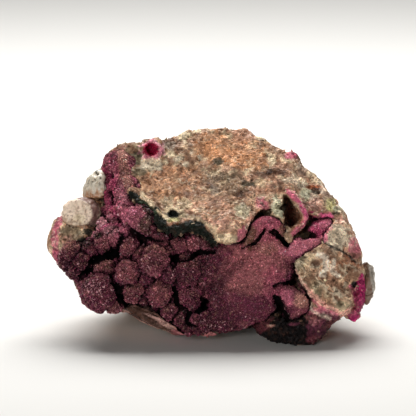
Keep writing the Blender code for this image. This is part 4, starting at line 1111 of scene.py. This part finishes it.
def camera():
    data = bpy.data.cameras.new("camera")
    data.sensor_width = SENSOR
    data.lens = SENSOR * CAMERA_AWAY / VIEW_WIDTH
    data.clip_end = 10
    target = place(*CAMERA_TARGET)
    toward = place(0, 0, -1) - place(0, 0, 0)
    bpy.context.scene.camera = aimed("camera", data, target + toward / MM * CAMERA_AWAY, target)


def softbox(name, at, width, height, power, colour):
    data = bpy.data.lights.new(name, "AREA")
    data.shape = "RECTANGLE"
    data.size = width
    data.size_y = height
    data.energy = power
    data.color = colour
    aimed(name, data, Vector(at), Vector(LIGHT_TARGET))


def backdrop():
    """A pale floor that curves up into a wall, in metres."""
    half, near, bend, radius, top = 1.6, -1.6, 1.4, 0.5, 1.8
    profile = [(near, 0), (bend, 0)]
    for i in range(1, CURVE_STEPS + 1):
        turn = math.pi / 2 * i / CURVE_STEPS
        profile.append((bend + radius * math.sin(turn), radius * (1 - math.cos(turn))))
    profile.append((bend + radius, top))
    bm = bmesh.new()
    left, right = [[bm.verts.new((x, y, z)) for y, z in profile] for x in (-half, half)]
    for i in range(len(profile) - 1):
        bm.faces.new((left[i], right[i], right[i + 1], left[i + 1]))
    obj = linked("backdrop", mesh_of(bm, "backdrop"))
    obj.data.shade_smooth()
    material, _, _ = new_material("backdrop", Base_Color=(*FLOOR_COLOUR, 1), Roughness=0.9)
    obj.data.materials.append(material)


def stage():
    backdrop()
    for name, light in LIGHTS.items():
        softbox(name, *light)
    world = bpy.data.worlds.new("world")
    world.use_nodes = True
    fill(world.node_tree, world.node_tree.nodes["Background"], Color=(1, 1, 1, 1), Strength=SKY_STRENGTH)
    bpy.context.scene.world = world
    bpy.context.scene.view_settings.view_transform = "Standard"
    camera()


def dress(obj, slot, material, *nodes):
    """Finishes a piece: its material, its body and the CAD nodes that it stands for; its slot is not used.
    """
    obj.data.materials.clear()
    obj.data.materials.append(material)
    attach(obj, BODY)
    if nodes:
        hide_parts(*nodes)


# The pale crystals: grid size, growth and height of their broken faces in millimetres, what paints
# them, roughness, transmission, the colour that they absorb to and how strongly.
PaleCrystal = namedtuple("PaleCrystal", "voxel growth facets painter roughness transmission colour density")
PALE_CRYSTALS = {
    "milky": PaleCrystal(0.2, 0.45, 0, milky_colours, 0.4, 0.1, MILK, 40),
    "clear": PaleCrystal(0.15, 0.45, 1, clear_colours, 0.12, 0.3, GLASS, 20),
    "edge": PaleCrystal(0.15, 0.25, 0.5, edge_colours, 0.2, 0.35, EDGE_GREY, 30),
}


def pale_crystal(kind, look):
    """A pale crystal's node on a fine grid, grown to meet the rock that it sits in, with broken faces."""
    node = f"{kind}_crystal"
    obj = copy_of(node, f"{kind}_calcite")
    refine(obj, look.voxel, 2)
    points = points_of(obj)
    broken = cells(points, CRYSTAL_BREAK, seed=35).plane
    grain = CRYSTAL_GRAIN * cloud(points, 1.6, 3, seed=30)
    raise_by(obj, look.growth + grain + look.facets * broken)
    paint(obj, look.painter(points_of(obj)))
    material = calcite_material(node, look.roughness, look.transmission, look.colour, look.density)
    dress(obj, "pale_crystal", material, node)


def main():
    rock, rock_relief = rock_form()
    druse, druse_relief = druse_form()
    around = tree_of([rock, druse])
    rock_skin, druse_skin = [(points_of(obj), normals_of(obj)) for obj in (rock, druse)]
    rock_free, druse_free = openness(*rock_skin, around), openness(*druse_skin, around)
    rock_tint = rock_colours(*rock_skin, rock_free, rock_relief)
    druse_tint = druse_colours(*druse_skin, druse_free, druse_relief)
    paint(rock, rock_tint)
    # painted shade: the druse under its crystals is painted darker
    paint(druse, druse_tint * sideways(druse_skin[0], DRUSE_GROUND)[:, None])
    shown = front_of(*rock_skin)
    coat = crystals_on(druse, druse_tint, druse_free * (1 - druse_relief.gaps), seed=41)
    front = grains_on("rock_grains", rock, rock_tint, rock_free, shown, spacing=1, seed=42)
    back = grains_on("rock_back_grains", rock, rock_tint, rock_free, 1 - shown, spacing=0.9, seed=43)
    thinned(rock, ROCK_TRIANGLES)
    thinned(druse, DRUSE_TRIANGLES)
    stone = rock_material()
    dress(rock, "host_rock", stone, "host_rock")
    dress(druse, "pink_druse", crystal_material("pink_druse", 0.9, 0.05, 0.75, 1.25), "pink_druse")
    dress(coat, "pink_druse", crystal_material("druse_crystals", 0.38, 0.35, 0.7, 1.3))
    dress(front, "host_rock", stone)
    dress(back, "host_rock", stone)
    for kind, look in PALE_CRYSTALS.items():
        pale_crystal(kind, look)
    stage()


main()
